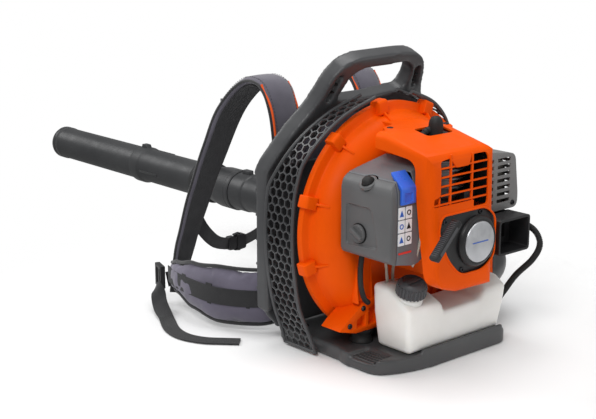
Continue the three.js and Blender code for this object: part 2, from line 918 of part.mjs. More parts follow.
function coverKnob() {
  const x = FILTER_LEFT + 4 - GAP;
  return join(
    turned([[0, -7], [13, -7], [15, -2], [15, 0], [0, 0]], [x, -52, 226], [1, 0, 0], 20),
    box([x - 10, -62, 223.5], [x - 5, -42, 228.5]),
    cylinder("X", 4, x - 1, x + 17, -52, 226, 5),
  );
}

// ---------------------------------------------------------------- exhaust
function muffler() {
  const shell = prism(outline([[62, 234], [150, 234], [146, 312], [62, 318]], 14), "Y", -96, -34);
  const chamber = prism(outline([[65, 237], [147, 237], [143, 309], [65, 315]], 11), "Y", -93, -37);
  return cut(shell, chamber, box([88, -86, 230], [130, -66, 240]));
}

function mufflerGuard() {
  const outer = outline([[58, 229], [168, 229], [170, 250], [160, 322], [58, 336]], 12);
  const inner = outline([[40, 232], [165, 232], [167, 250], [157, 319], [40, 333]], 9);
  const shell = cut(prism(outer, "Y", -106, -24), prism(inner, "Y", -103, -27));
  let guard = shell;
  for (let row = 0; row < 7; row++) {
    const z = 242 + row * 11.5;
    for (const x of [74, 116]) {
      guard = cut(guard, box([x, -110, z], [x + 32, -98, z + 6]));
    }
    for (const y of [-94, -62]) {
      guard = cut(guard, box([150, y, z], [172, y + 24, z + 6]));
    }
  }
  return cut(guard, box([84, -90, 220], [134, -62, 233]));
}

function exhaustDuct() {
  const outer = outline([[73, 168], [150, 168], [150, 228], [73, 228]], 7);
  const inner = outline([[77, 172], [146, 172], [146, 224], [77, 224]], 5);
  // the duct runs on under the guard to the muffler's port
  const root = box([80, -108, 180], [138, -58, 229 - GAP]);
  const rootSpace = box([84, -112, 184], [134, -62, 240]);
  const mouth = cut(prism(outer, "Y", -150, -106), prism(inner, "Y", -160, -110));
  return cut(join(mouth, root), rootSpace, box([84, -115, 184], [134, -100, 220]));
}

// ---------------------------------------------------------------- fuel tank
const CAP_AT = [-67, -88, 114.5];
const CAP_AXIS = [-0.1, -0.28, 0.955];
function fuelTank() {
  const frontView = outline([
    [-86, TANK_BOTTOM, 16],
    [-93, 84, 30],
    [-93, 131, 22],
    [-44, 131, 18],
    [-18, 116, 12],
    [-10, 92, 8],
    [8, 80, 12],
    [78, 86, 10],
    [96, 112, 8],
    [144, 114, 16],
    [140, 70, 20],
    [132, TANK_BOTTOM, 16],
  ]);
  const sideView = outline([
    [-34, TANK_BOTTOM, 14],
    [-26, 132, 12],
    [-58, 132, 16],
    [-113, 99, 14],
    [-106, TANK_BOTTOM, 14],
  ]);
  const body = common(prism(frontView, "Y", -140, 0, 5), prism(sideView, "X", -140, 160, 5));
  const neck = turned([[0, -20], [19, -20], [19, 7], [0, 7]], CAP_AT, CAP_AXIS, 20);
  const bore = turned([[0, -12], [15, -12], [15, 9], [0, 9]], CAP_AT, CAP_AXIS, 20);
  // the space inside is what is left of the body when it is pared down from every side
  const wall = 4.5;
  const shifts = [0, 1, 2].flatMap((i) => [-wall, wall].map((d) => [0, 1, 2].map((k) => (k === i ? d : 0))));
  const cavity = common(...shifts.map((shift) => body.translate(shift)));
  return cut(join(body, neck), bore, cavity);
}

function fuelCap() {
  const cap = turned(
    [
      [0, 7 + GAP],
      [24, 7 + GAP],
      [25, 10],
      [24, 28],
      [20, 32],
      [0, 33],
    ],
    CAP_AT,
    CAP_AXIS,
    24,
  );
  const plug = turned([[0, -8], [13, -8], [13, 8], [0, 8]], CAP_AT, CAP_AXIS, 16);
  return join(cap, plug);
}

// ---------------------------------------------------------------- hose and tubes
// Pipe along Y from a profile of outer radii, with an even bore.
function pipe(profile, bore) {
  const [start, end] = [profile[0][1], profile[profile.length - 1][1]];
  return turned(
    [[bore, start], ...profile, [bore, end], [bore, start]],
    [TUBE_X, 0, TUBE_Z],
    [0, 1, 0],
    20,
  );
}

function outletElbow() {
  const bend = (radius, before, after) => {
    const turns = 6;
    const sections = [[ELBOW_START - before, OUTLET_Y, 0]];
    for (let i = 0; i <= turns; i++) {
      const angle = ((i / turns) * Math.PI) / 2;
      const x = ELBOW_START + BEND_R * Math.sin(angle);
      sections.push([x, OUTLET_Y + BEND_R * (1 - Math.cos(angle)), angle]);
    }
    sections.push([TUBE_X, ELBOW_END + after, Math.PI / 2]);
    const rings = sections.slice(before ? 0 : 1).map(([x, y, angle]) => {
      const side = new THREE.Vector3(Math.sin(angle), -Math.cos(angle), 0);
      return Array.from({ length: 16 }, (_, k) => {
        const turn = (k / 16) * 2 * Math.PI;
        return new THREE.Vector3(x, y, TUBE_Z + radius * Math.sin(turn)).addScaledVector(
          side,
          radius * Math.cos(turn),
        );
      });
    });
    return loft(rings);
  };
  const flange = prism(
    outline(
      [
        [OUTLET_Y - HOSE_R, TUBE_Z - 46],
        [OUTLET_Y + HOSE_R, TUBE_Z - 46],
        [OUTLET_Y + HOSE_R, TUBE_Z + 50],
        [OUTLET_Y - HOSE_R, TUBE_Z + 50],
      ],
      14,
    ),
    "X",
    ELBOW_START,
    ELBOW_START + 7,
  );
  return cut(join(bend(HOSE_R, 0, 0), flange), bend(HOSE_R - 4, 5, 5));
}

function bellows(start, end) {
  const folds = 4;
  const step = (end - start) / folds;
  const outer = [[HOSE_R - 4, start]];
  for (let i = 0; i < folds; i++) {
    outer.push([HOSE_R, start + (i + 0.5) * step], [HOSE_R - 4, start + (i + 1) * step]);
  }
  return pipe(outer, HOSE_R - 7);
}

function hoseRing() {
  return pipe(
    [
      [HOSE_R - 2, RING_START],
      [HOSE_R + 1, RING_START + 3],
      [HOSE_R + 1, RING_END - 3],
      [HOSE_R - 2, RING_END],
    ],
    HOSE_R - 8,
  );
}

function connectorTube() {
  const tube = pipe(
    [
      [HOSE_R, CONNECTOR_START],
      [HOSE_R, CONNECTOR_START + 40],
      [TUBE_R + 3, CONNECTOR_START + 52],
      [TUBE_R + 3, CONNECTOR_END],
    ],
    TUBE_R - TUBE_WALL,
  );
  const lug = box([TUBE_X - 7, CONNECTOR_END - 34, TUBE_Z + 38], [TUBE_X + 7, CONNECTOR_END - 10, TUBE_Z + 50]);
  return join(tube, cut(lug, cylinder("Y", TUBE_R, 600, 800, TUBE_X, TUBE_Z, 12)));
}

function midTube() {
  const start = CONNECTOR_END + GAP;
  const tube = pipe(
    [
      [HOSE_R + 1, start],
      [HOSE_R + 1, start + 48],
      [TUBE_R + 1, start + 82],
      [TUBE_R, start + 90],
      [TUBE_R, MID_END - 34],
      [TUBE_R + 4, MID_END - 28],
      [TUBE_R + 4, MID_END],
    ],
    TUBE_R - TUBE_WALL,
  );
  const catchLug = box(
    [TUBE_X - 6, MID_END - 26, TUBE_Z + TUBE_R],
    [TUBE_X + 6, MID_END - 6, TUBE_Z + TUBE_R + 11],
  );
  return join(tube, catchLug);
}

function nozzleTube() {
  const start = MID_END + GAP;
  return pipe(
    [
      [TUBE_R, start],
      [TUBE_R, NOZZLE_END - 26],
      [TUBE_R + 1.5, NOZZLE_END - 22],
      [TUBE_R + 1.5, NOZZLE_END - 3],
      [TUBE_R, NOZZLE_END],
    ],
    TUBE_R - TUBE_WALL,
  );
}

// ---------------------------------------------------------------- control handle
const GRIP_FOOT_Y = 838;
const GRIP_LEAN = THREE.MathUtils.degToRad(28);
const GRIP_BOTTOM = TUBE_Z + TUBE_R + 5;
// Point on the grip's centre line, h above its foot.
const gripPoint = (h) => [
  TUBE_X,
  GRIP_FOOT_Y - h * Math.sin(GRIP_LEAN),
  GRIP_BOTTOM + h * Math.cos(GRIP_LEAN),
];

function gripSection(h, half, depth) {
  const [x, y, z] = gripPoint(h);
  return Array.from({ length: 10 }, (_, k) => {
    const angle = (k / 10) * 2 * Math.PI;
    return new THREE.Vector3(
      x + half * Math.cos(angle),
      y + depth * Math.sin(angle),
      z + depth * Math.sin(angle) * 0.2,
    );
  });
}

function controlHandle() {
  const stem = loft([
    gripSection(-14, 20, 30),
    gripSection(8, 18, 24),
    gripSection(30, 15, 17),
    gripSection(90, 16, 18),
    gripSection(125, 18, 22),
    gripSection(150, 20, 26),
    gripSection(166, 17, 20),
    gripSection(172, 9, 10),
  ]);
  const clamp = turned(
    [
      [TUBE_R + GAP, GRIP_FOOT_Y - 24],
      [TUBE_R + 6, GRIP_FOOT_Y - 24],
      [TUBE_R + 6, GRIP_FOOT_Y + 24],
      [TUBE_R + GAP, GRIP_FOOT_Y + 24],
      [TUBE_R + GAP, GRIP_FOOT_Y - 24],
    ],
    [TUBE_X, 0, TUBE_Z],
    [0, 1, 0],
    20,
  );
  let handle = cut(join(stem, clamp), cylinder("Y", TUBE_R + GAP, 700, 950, TUBE_X, TUBE_Z, 12));
  // pocket for the trigger in the front of the grip
  const [, y, z] = gripPoint(118);
  handle = cut(handle, box([TUBE_X - 6.5, y + 4, z - 30], [TUBE_X + 6.5, y + 40, z + 24]));
  // slot for the cruise lever in the left side, and for the stop switch on the head
  const [, headY, headZ] = gripPoint(150);
  handle = cut(handle, box([TUBE_X - 30, headY - 14, headZ - 12], [TUBE_X - 12, headY + 12, headZ + 34]));
  return cut(handle, box([TUBE_X - 5, headY - 26, headZ + 12], [TUBE_X + 5, headY + 8, headZ + 40]));
}

function throttleTrigger() {
  const [, y, z] = gripPoint(118);
  const profile = outline([
    [y + 7.5, z + 20, 2],
    [y + 22, z + 20, 4],
    [y + 27, z, 4],
    [y + 30, z - 18, 6],
    [y + 22, z - 26, 4],
    [y + 17, z - 10, 4],
    [y + 7.5, z + 10, 2],
  ]);
  return prism(profile, "X", TUBE_X - 5.5, TUBE_X + 5.5);
}

function cruiseLever() {
  const [, y, z] = gripPoint(150);
  const x = TUBE_X - 12 - GAP;
  return join(
    cylinder("X", 7, x - 9, x, y - 3, z - 2, 5),
    box([x - 9, y - 6, z - 2], [x - 4, y, z + 26]),
  );
}

function stopSwitch() {
  const [, y, z] = gripPoint(150);
  return prism(
    outline([[y - 24, z + 13], [y + 3, z + 13], [y + 1, z + 26], [y - 10, z + 31], [y - 23, z + 26]], 2),
    "X",
    TUBE_X - 4,
    TUBE_X + 4,
  );
}

// ---------------------------------------------------------------- cables and fuel lines
const CONDUIT_R = 5.5;
const CONDUIT_SIDE = 37; // the conduit lies at 45 degrees below the hose's outer side
const CONDUIT_ROUTE = [
  [60, -80, 158],
  [110, -78, 152],
  [152, -84, 172],
  [171, -112, 198],
  [174, -140, 194],
  [175, -153, 172],
  [174, -140, 143],
  [171, -108, 108],
  [173, -80, 70],
  [186, -50, 40],
  [220, -4, 36],
  [262, 56, 44],
  [TUBE_X + CONDUIT_SIDE, ELBOW_END, TUBE_Z - CONDUIT_SIDE],
];
const TUBE_CONDUIT_ROUTE = [
  [TUBE_X + CONDUIT_SIDE, CONNECTOR_START + 2, TUBE_Z - CONDUIT_SIDE],
  [TUBE_X + CONDUIT_SIDE, CONNECTOR_START + 120, TUBE_Z - CONDUIT_SIDE],
  [TUBE_X + CONDUIT_SIDE, CONNECTOR_START + 240, TUBE_Z - CONDUIT_SIDE + 2],
  [TUBE_X + 48, CONNECTOR_END - 60, TUBE_Z - 18],
  [TUBE_X + 51, CONNECTOR_END - 4, TUBE_Z + 6],
];

// ---------------------------------------------------------------- harness
function shoulderStrap(side) {
  const reach = side < 0 ? 1 : 0.82; // the right strap hangs closer in, clear of the blower tube
  return band(
    [
      [side * 100, 172, 318, 62, 14],
      [side * 102, 180, 384, 64, 16],
      [side * 102, 206, 427, 66, 16],
      [side * 104, 254, 427, 66, 16],
      [side * 110, 310, 376, 66, 16],
      [side * 116, 350, 300, 62, 15],
      [side * 126 * reach, 386, 210, 56, 13],
      [side * 144 * reach, 406, 120, 46, 10],
      [side * 160 * reach, 410, 58, 36, 7],
      [side * 168 * reach, 408, 24, 30, 5],
    ],
    [1, 0, 0],
    18,
  );
}

function hipBelt(side) {
  const flare = side < 0 ? 1 : 0.84;
  const stations = [
    [side * 92, 166, 64, 92, 16],
    [side * 146 * flare, 196, 62, 106, 20],
    [side * 184 * flare, 254, 62, 108, 20],
    [side * 196 * flare, 316, 66, 90, 18],
    [side * 192 * flare, 368, 68, 64, 15],
    [side * 184 * flare, 396, 68, 46, 12],
  ];
  return band(stations, [0, 0, 1], 14);
}

// webbing between the shoulder straps, running straight where it passes through its buckle
function chestStrap() {
  const half = [
    [122, 412, 168],
    [92, 425, 128],
    [56, 437, 96],
    [26, 441, 84],
    [8, 442, 82],
  ];
  const stations = [...half.map(([x, y, z]) => [-x, y, z]), ...half.reverse()];
  const sized = stations.map((station) => [...station, 25, 2]);
  return band(sized, [0, -0.35, 1], 22);
}

function chestBuckle() {
  const body = prism(
    outline(
      [
        [-21, 66],
        [21, 66],
        [21, 100],
        [-21, 100],
      ],
      5,
    ),
    "Y",
    434,
    450,
  );
  return cut(body, box([-30, 436.5, 69.5], [30, 447.5, 96.5]));
}

// ladder lock that hangs from the front end of the left hip belt half
function hipBuckle() {
  const plate = join(
    box([-4.5, -17, -21], [4.5, 17, -15]),
    box([-4.5, -17, 15], [4.5, 17, 21]),
    box([-4.5, -17, -21], [4.5, -11, 21]),
    box([-4.5, 11, -21], [4.5, 17, 21]),
    box([-3.5, -3, -21], [3.5, 3, 21]),
  );
  return plate.rotate([0, 0, -18]).translate([-181, 440, 52]);
}

function waistStrapTail() {
  return band(
    [
      [-200, 422, 44, 28, 2],
      [-214, 396, 16, 28, 2],
      [-232, 350, 3, 28, 2],
      [-256, 300, 1.6, 28, 2],
      [-262, 258, 1.6, 28, 2],
      [-250, 222, 1.6, 28, 2],
      [-228, 196, 1.6, 28, 2],
      [-206, 174, 1.6, 28, 2],
    ],
    [0.3, 0.4, 1],
    24,
    [1, 0.25, 0],
    0.3,
  );
}

function build() {
  node("base_plate", basePlate(), MATERIAL.greyPlastic);
  node("back_frame", backFrame(), MATERIAL.greyPlastic);
  node("intake_screen_left", intakeScreen(-1), MATERIAL.greyPlastic);
  node("intake_screen_right", intakeScreen(1), MATERIAL.greyPlastic);
  for (const [name, x] of [["av_mount_left", -90], ["av_mount_right", 96]]) {
    const profile = [[0, BASE_TOP + GAP], [19, BASE_TOP + GAP], [17, 36], [19, HOUSING_FLOOR - GAP], [0, HOUSING_FLOOR - GAP]];
    node(name, turned(profile, [x, -2, 0], [0, 0, 1], 20), MATERIAL.rubber);
  }
  node("fan_housing_outer", outerHousing(), MATERIAL.orange);
  node("fan_housing_inner", innerHousing(), MATERIAL.blackPlastic);
  node("fan_impeller", impeller(), MATERIAL.blackPlastic);

  node("crankcase", crankcase(), MATERIAL.aluminium);
  node("crankshaft", crankshaft(), MATERIAL.steel);
  const flywheel = [[8.4, -128], [24, -128], [43, -124], [43, -112], [8.4, -112], [8.4, -128]];
  node("flywheel", turned(flywheel, atAxis, [0, 1, 0], 32), MATERIAL.aluminium);
  node("cylinder", cylinderHead(), MATERIAL.aluminium);
  const crown = [[0, 312], [21, 312], [21, 286], [15, 286], [15, 300], [0, 300]];
  node("piston", turned(crown, [FAN_X, ENGINE_Y, 0], [0, 0, 1], 20), MATERIAL.aluminium);
  node("connecting_rod", box([FAN_X - 6, ENGINE_Y - 4, 248], [FAN_X + 6, ENGINE_Y + 4, 299]), MATERIAL.steel);
  node("spark_plug", sparkPlug(), MATERIAL.steel);
  node("plug_boot", plugBoot(), MATERIAL.rubber);
  node("ignition_coil", box([-2, -138, 258], [24, -124.5, 286]), MATERIAL.blackPlastic);
  node("carburettor", carburettor(), MATERIAL.aluminium);
  node("engine_cover", engineCover(), MATERIAL.orange);

  node("starter_housing", starterHousing(), MATERIAL.blackPlastic);
  const badge = [[0, COVER_REAR - 8.4], [33, COVER_REAR - 8.4], [34, COVER_REAR - 6 - GAP], [0, COVER_REAR - 6 - GAP]];
  node("starter_badge", turned(badge, atAxis, [0, 1, 0], 32), MATERIAL.badge);
  const pulley = [[6, -154], [30, -154], [26, -150], [26, -144], [30, -140], [6, -140], [6, -154]];
  node("starter_pulley", turned(pulley, atAxis, [0, 1, 0], 24), MATERIAL.blackPlastic);
  node("starter_handle", pullGrip(), MATERIAL.blackPlastic);
  const rope = [[-51, -147, FAN_Z + 17], [-55, -160, FAN_Z + 19], [-72, -169, FAN_Z + 22], [-90, -171.5, FAN_Z + 24]];
  node("starter_rope", rod(rope, 2.2, 6, 6), MATERIAL.webbing);

  node("filter_base", filterBase(), MATERIAL.lightGrey);
  node("filter_element", filterElement(), MATERIAL.paper);
  node("filter_cover", filterCover(), MATERIAL.greyPlastic);
  node("cover_knob", coverKnob(), MATERIAL.greyPlastic);
  node("primer_bulb", primerBulb(), MATERIAL.blackPlastic);
  node("choke_lever", chokeLever(), MATERIAL.blue);

  node("muffler", muffler(), MATERIAL.castIron);
  node("muffler_guard", mufflerGuard(), MATERIAL.greyPlastic);
  node("exhaust_duct", exhaustDuct(), MATERIAL.greyPlastic);

  node("fuel_tank", fuelTank(), MATERIAL.tank);
  node("fuel_cap", fuelCap(), MATERIAL.greyPlastic);
  const supply = [[-74, -44, 132], [-80, -48, 148], [-90, -56, 166], [-98, -61, 178]];
  node("fuel_line_supply", rod(supply, 2.6, 6, 8), MATERIAL.clearHose);
  const back = [[-62, -44, 132], [-66, -48, 150], [-72, -56, 168], [-78, -62, 184]];
  node("fuel_line_return", rod(back, 2.6, 6, 8), MATERIAL.clearHose);

  node("outlet_elbow", outletElbow(), MATERIAL.greyPlastic);
  node("hose_bellows_rear", bellows(ELBOW_END + GAP, RING_START - GAP), MATERIAL.rubber);
  node("hose_ring", hoseRing(), MATERIAL.greyPlastic);
  node("hose_bellows_front", bellows(RING_END + GAP, CONNECTOR_START - GAP), MATERIAL.rubber);
  node("connector_tube", connectorTube(), MATERIAL.greyPlastic);
  node("mid_tube", midTube(), MATERIAL.greyPlastic);
  node("nozzle_tube", nozzleTube(), MATERIAL.greyPlastic);
  node("control_handle", controlHandle(), MATERIAL.blackPlastic);
  node("throttle_trigger", throttleTrigger(), MATERIAL.blackPlastic);
  node("cruise_lever", cruiseLever(), MATERIAL.greyPlastic);
  node("stop_switch", stopSwitch(), MATERIAL.greyPlastic);
  node("throttle_conduit", rod(CONDUIT_ROUTE, CONDUIT_R, 8, 26), MATERIAL.rubber);
  node("tube_conduit", rod(TUBE_CONDUIT_ROUTE, CONDUIT_R, 8, 14), MATERIAL.rubber);

  const pad = outline([[-112, 120], [112, 120], [96, 386], [-96, 386]], 30);
  node("back_pad", prism(pad, "Y", BASE_FRONT + 0.6, BASE_FRONT + 3), MATERIAL.fabric);
  node("shoulder_strap_left", shoulderStrap(-1), MATERIAL.webbing);
  node("shoulder_strap_right", shoulderStrap(1), MATERIAL.webbing);
  node("hip_belt_left", hipBelt(-1), MATERIAL.fabric);
  node("hip_belt_right", hipBelt(1), MATERIAL.fabric);
  node("chest_strap", chestStrap(), MATERIAL.webbing);
  node("chest_buckle", chestBuckle(), MATERIAL.blackPlastic);
  node("hip_buckle", hipBuckle(), MATERIAL.blackPlastic);
  node("waist_strap_tail", waistStrapTail(), MATERIAL.webbing);
}
build();

export default part;
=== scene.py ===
"""Backpack leaf blower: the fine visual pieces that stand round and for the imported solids."""

import json
import math

import bmesh
import bpy
from mathutils import Matrix, Vector

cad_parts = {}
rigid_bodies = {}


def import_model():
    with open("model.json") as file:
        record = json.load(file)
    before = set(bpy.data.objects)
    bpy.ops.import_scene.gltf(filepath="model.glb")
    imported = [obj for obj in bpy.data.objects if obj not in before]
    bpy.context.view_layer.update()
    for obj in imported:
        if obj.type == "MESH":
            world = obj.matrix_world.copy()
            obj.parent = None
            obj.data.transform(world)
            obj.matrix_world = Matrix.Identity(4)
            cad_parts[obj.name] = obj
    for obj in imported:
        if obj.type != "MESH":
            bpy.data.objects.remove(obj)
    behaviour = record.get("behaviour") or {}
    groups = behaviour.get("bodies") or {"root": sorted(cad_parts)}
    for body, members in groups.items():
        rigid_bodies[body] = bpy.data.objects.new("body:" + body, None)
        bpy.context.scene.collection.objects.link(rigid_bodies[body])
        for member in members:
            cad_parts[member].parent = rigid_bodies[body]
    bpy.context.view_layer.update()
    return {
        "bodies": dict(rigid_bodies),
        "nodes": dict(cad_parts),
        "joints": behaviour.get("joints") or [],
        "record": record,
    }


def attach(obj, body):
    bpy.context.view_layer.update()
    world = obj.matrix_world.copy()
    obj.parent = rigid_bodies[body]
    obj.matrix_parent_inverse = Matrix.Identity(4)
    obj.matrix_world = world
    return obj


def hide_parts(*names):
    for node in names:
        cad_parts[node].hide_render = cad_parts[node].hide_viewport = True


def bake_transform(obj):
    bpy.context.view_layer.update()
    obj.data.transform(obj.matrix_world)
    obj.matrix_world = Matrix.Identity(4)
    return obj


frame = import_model()
NODES = frame["nodes"]
BODY_OF = {node: body for body, nodes in frame["record"]["behaviour"]["bodies"].items() for node in nodes}
SLOT_OF = {entry["node"]: entry["material_slot"] for entry in frame["record"]["subparts"]}

MM = 0.001
FAN_X = 6
FAN_Z = 210
TUBE_X = 240
TUBE_Z = 97
FAN_AXIS = (FAN_X, 0, FAN_Z)
TUBE_AXIS = (TUBE_X, 0, TUBE_Z)
TUBE_R = 39
HOSE_R = 44
ELBOW_START = 184
OUTLET_Y = -3
ELBOW_END = 96
RING_START = 198
RING_END = 222
CONNECTOR_START = 324
CONNECTOR_END = 722
MID_END = 1104
NOZZLE_END = 1466
COVER_REAR = -160
RIM_Y = 42
HOUSING_FLOOR = 48
HAND = {-1: "left", 1: "right"}
LEAN = math.radians(24)
GRIP_LEAN = math.radians(28)


# ------------------------------------------------------------------ materials
class Shader:
    """A principled material built up from noise, wear and bump in object space."""

    def __init__(self, name, rough, metallic=0.0):
        self.material = bpy.data.materials.new(name)
        self.material.use_nodes = True
        self.tree = self.material.node_tree
        self.tree.nodes.clear()
        self.out = self.node("ShaderNodeOutputMaterial")
        self.bsdf = self.node("ShaderNodeBsdfPrincipled")
        self.bsdf.inputs["Roughness"].default_value = rough
        self.bsdf.inputs["Metallic"].default_value = metallic
        self.link(self.bsdf.outputs[0], self.out.inputs[0])
        self.coords = self.node("ShaderNodeTexCoord")
        self.normal = None

    def node(self, kind, **values):
        node = self.tree.nodes.new(kind)
        for key, value in values.items():
            setattr(node, key, value)
        return node

    def link(self, start, end):
        self.tree.links.new(start, end)

    def set(self, **values):
        for key, value in values.items():
            self.bsdf.inputs[key.replace("_", " ")].default_value = value
        return self

    def noise(self, scale, detail):
        noise = self.node("ShaderNodeTexNoise")
        noise.inputs["Scale"].default_value = scale
        noise.inputs["Detail"].default_value = detail
        self.link(self.coords.outputs["Object"], noise.inputs["Vector"])
        return noise.outputs["Fac"]

    def ramp(self, value, stops):
        ramp = self.node("ShaderNodeValToRGB")
        elements = ramp.color_ramp.elements
        while len(elements) < len(stops):
            elements.new(0.5)
        for element, (at, color) in zip(elements, stops):
            element.position = at
            element.color = (*color, 1)
        self.link(value, ramp.inputs["Fac"])
        return ramp.outputs["Color"]

    def calc(self, operation, *values):
        """One arithmetic node; its inputs are numbers or other nodes' outputs."""
        node = self.node("ShaderNodeMath", operation=operation)
        for socket, value in zip(node.inputs, values):
            if isinstance(value, (int, float)):
                socket.default_value = value
            else:
                self.link(value, socket)
        return node.outputs[0]

    def span(self, value, low, high, new_low=0.0, new_high=1.0, **options):
        node = self.node("ShaderNodeMapRange", **options)
        for socket, limit in zip(node.inputs[1:5], (low, high, new_low, new_high)):
            socket.default_value = limit
        self.link(value, node.inputs["Value"])
        return node.outputs[0]

    def color(self, light, dark, scale=9.0):
        spread = 0.16
        value = self.noise(scale, 4.0)
        color = self.ramp(value, [(0.5 - spread, dark), (0.5 + spread, light)])
        self.link(color, self.bsdf.inputs["Base Color"])

    def roughness(self, low, high, scale=40.0):
        spread = self.span(self.noise(scale, 3.0), 0.3, 0.7, low, high)
        self.link(spread, self.bsdf.inputs["Roughness"])

    def bump(self, height, strength, distance):
        bump = self.node("ShaderNodeBump")
        bump.inputs["Strength"].default_value = strength
        bump.inputs["Distance"].default_value = distance
        self.link(height, bump.inputs["Height"])
        if self.normal:
            self.link(self.normal, bump.inputs["Normal"])
        self.normal = bump.outputs["Normal"]
        self.link(self.normal, self.bsdf.inputs["Normal"])


def moulded(name, light, dark, rough, grain=1400.0, strength=0.12, shine=0.35):
    shader = Shader(name, rough)
    shader.color(light, dark)
    shader.roughness(rough - 0.06, rough + 0.08)
    shader.bump(shader.noise(grain, 1.0), strength, 0.0003)
    shader.bump(shader.noise(26.0, 2.0), 0.06, 0.0006)
    shader.set(Specular_IOR_Level=shine)
    return shader.material


def metal(name, light, dark, rough, grain=300.0):
    shader = Shader(name, rough, 1.0)
    shader.color(light, dark, 30.0)
    shader.roughness(rough - 0.08, rough + 0.1, 120.0)
    shader.bump(shader.noise(grain, 2.0), 0.2, 0.0004)
    return shader.material


def woven(name, light, dark, across, along, depth, sheen):
    """Plain weave in UV space: U runs across the band and V along it, both in metres."""
    shader = Shader(name, 0.86)
    uv = shader.node("ShaderNodeSeparateXYZ")
    shader.link(shader.coords.outputs["UV"], uv.inputs[0])
    waves = []
    for output, pitch, phase in [(0, across, 0.0), (1, along, 1.5708)]:
        cycles = shader.calc("MULTIPLY", uv.outputs[output], 2 * math.pi / pitch)
        waves.append(shader.calc("SINE", shader.calc("ADD", cycles, phase)))
    weave = shader.span(shader.calc("MULTIPLY", *waves), -1, 1)
    wear = shader.calc("MULTIPLY_ADD", shader.noise(60.0, 3.0), 0.4, 0.1)
    shade = shader.calc("MULTIPLY_ADD", weave, 0.5, wear)
    shader.link(shader.ramp(shade, [(0.15, dark), (0.85, light)]), shader.bsdf.inputs["Base Color"])
    shader.bump(weave, 0.8, depth)
    shader.set(Sheen_Weight=sheen, Sheen_Roughness=0.5)
    return shader.material


def cloth(name, light, dark, pitch):
    """Close weave in object space for padded pieces without a usable UV."""
    shader = Shader(name, 0.9)
    value = shader.noise(7.0, 5.0)
    shader.link(shader.ramp(value, [(0.34, dark), (0.68, light)]), shader.bsdf.inputs["Base Color"])
    weave = shader.node("ShaderNodeTexVoronoi")
    weave.inputs["Scale"].default_value = 1 / pitch
    shader.link(shader.coords.outputs["Object"], weave.inputs["Vector"])
    shader.bump(weave.outputs["Distance"], 0.55, 0.0004)
    shader.bump(shader.noise(55.0, 4.0), 0.3, 0.0012)
    shader.set(Sheen_Weight=0.35, Sheen_Roughness=0.5)
    return shader.material


ORANGE = moulded("orange_plastic", (0.85, 0.094, 0.0012), (0.77, 0.081, 0.001), 0.42, 900.0, 0.04, 0.06)
GREY = moulded("grey_plastic", (0.072, 0.073, 0.078), (0.058, 0.059, 0.063), 0.46)
FRAME_GREY = moulded("frame_plastic", (0.056, 0.057, 0.06), (0.042, 0.043, 0.046), 0.38, shine=0.5)
DECK = moulded("deck_plastic", (0.06, 0.061, 0.063), (0.046, 0.047, 0.049), 0.36, shine=0.5)
LIGHT_GREY = moulded("light_grey_plastic", (0.135, 0.139, 0.148), (0.11, 0.114, 0.122), 0.42)
COVER_GREY = moulded("cover_plastic", (0.115, 0.116, 0.118), (0.092, 0.093, 0.095), 0.4)
GUARD_GREY = moulded("guard_plastic", (0.22, 0.218, 0.215), (0.18, 0.178, 0.176), 0.42)
TUBE_GREY = moulded("tube_plastic", (0.04, 0.041, 0.043), (0.03, 0.031, 0.033), 0.38)
BLACK = moulded("black_plastic", (0.018, 0.018, 0.019), (0.011, 0.011, 0.012), 0.42)
# near black: painted shade in the plug hole, the frame's slots, round the knob and behind the grille, and
# the ink of the labels
SHADE_AND_INK = moulded("shade_and_ink_black", (0.01, 0.01, 0.01), (0.006, 0.006, 0.006), 0.6)
RUBBER = moulded("rubber", (0.016, 0.016, 0.016), (0.009, 0.009, 0.009), 0.62, 700.0, 0.25)
BLUE = moulded("blue_plastic", (0.04, 0.15, 0.72), (0.03, 0.12, 0.62), 0.3, 900.0, 0.05, 0.4)
WHITE = moulded("label_white", (0.82, 0.83, 0.84), (0.74, 0.75, 0.77), 0.4, 600.0, 0.03)
LABEL_BLUE = moulded("label_blue", (0.03, 0.12, 0.5), (0.02, 0.1, 0.42), 0.4, 600.0, 0.03)
RED = moulded("label_red", (0.7, 0.03, 0.02), (0.6, 0.02, 0.015), 0.4, 600.0, 0.03)
ORANGE_TRIM = moulded("orange_trim", (0.9, 0.12, 0.01), (0.7, 0.08, 0.006), 0.6, 700.0, 0.2)
PAPER = moulded("filter_paper", (0.72, 0.62, 0.4), (0.62, 0.52, 0.32), 0.9, 500.0, 0.3)
STEEL = metal("steel", (0.62, 0.63, 0.65), (0.45, 0.46, 0.48), 0.3)
SCREW = metal("screw_steel", (0.07, 0.07, 0.075), (0.04, 0.04, 0.045), 0.38)
ALUMINIUM = metal("cast_aluminium", (0.36, 0.365, 0.37), (0.22, 0.225, 0.23), 0.42, 220.0)
MUFFLER = metal("muffler_steel", (0.2, 0.18, 0.16), (0.07, 0.065, 0.06), 0.5, 160.0)
BADGE = metal("badge_silver", (0.6, 0.61, 0.63), (0.5, 0.51, 0.53), 0.42, 700.0)
MESH_CLOTH = woven("mesh_cloth", (0.045, 0.045, 0.048), (0.006, 0.006, 0.007), 0.0034, 0.0034, 0.0006, 0.1)
WEBBING = woven("webbing", (0.026, 0.026, 0.028), (0.008, 0.008, 0.009), 0.0022, 0.0016, 0.0005, 0.12)
SATIN = cloth("satin_cloth", (0.14, 0.13, 0.165), (0.075, 0.069, 0.09), 0.0008)
BELT_CLOTH = cloth("belt_cloth", (0.15, 0.136, 0.186), (0.08, 0.072, 0.102), 0.0014)
BINDING = cloth("binding_cloth", (0.03, 0.03, 0.032), (0.012, 0.012, 0.013), 0.0008)


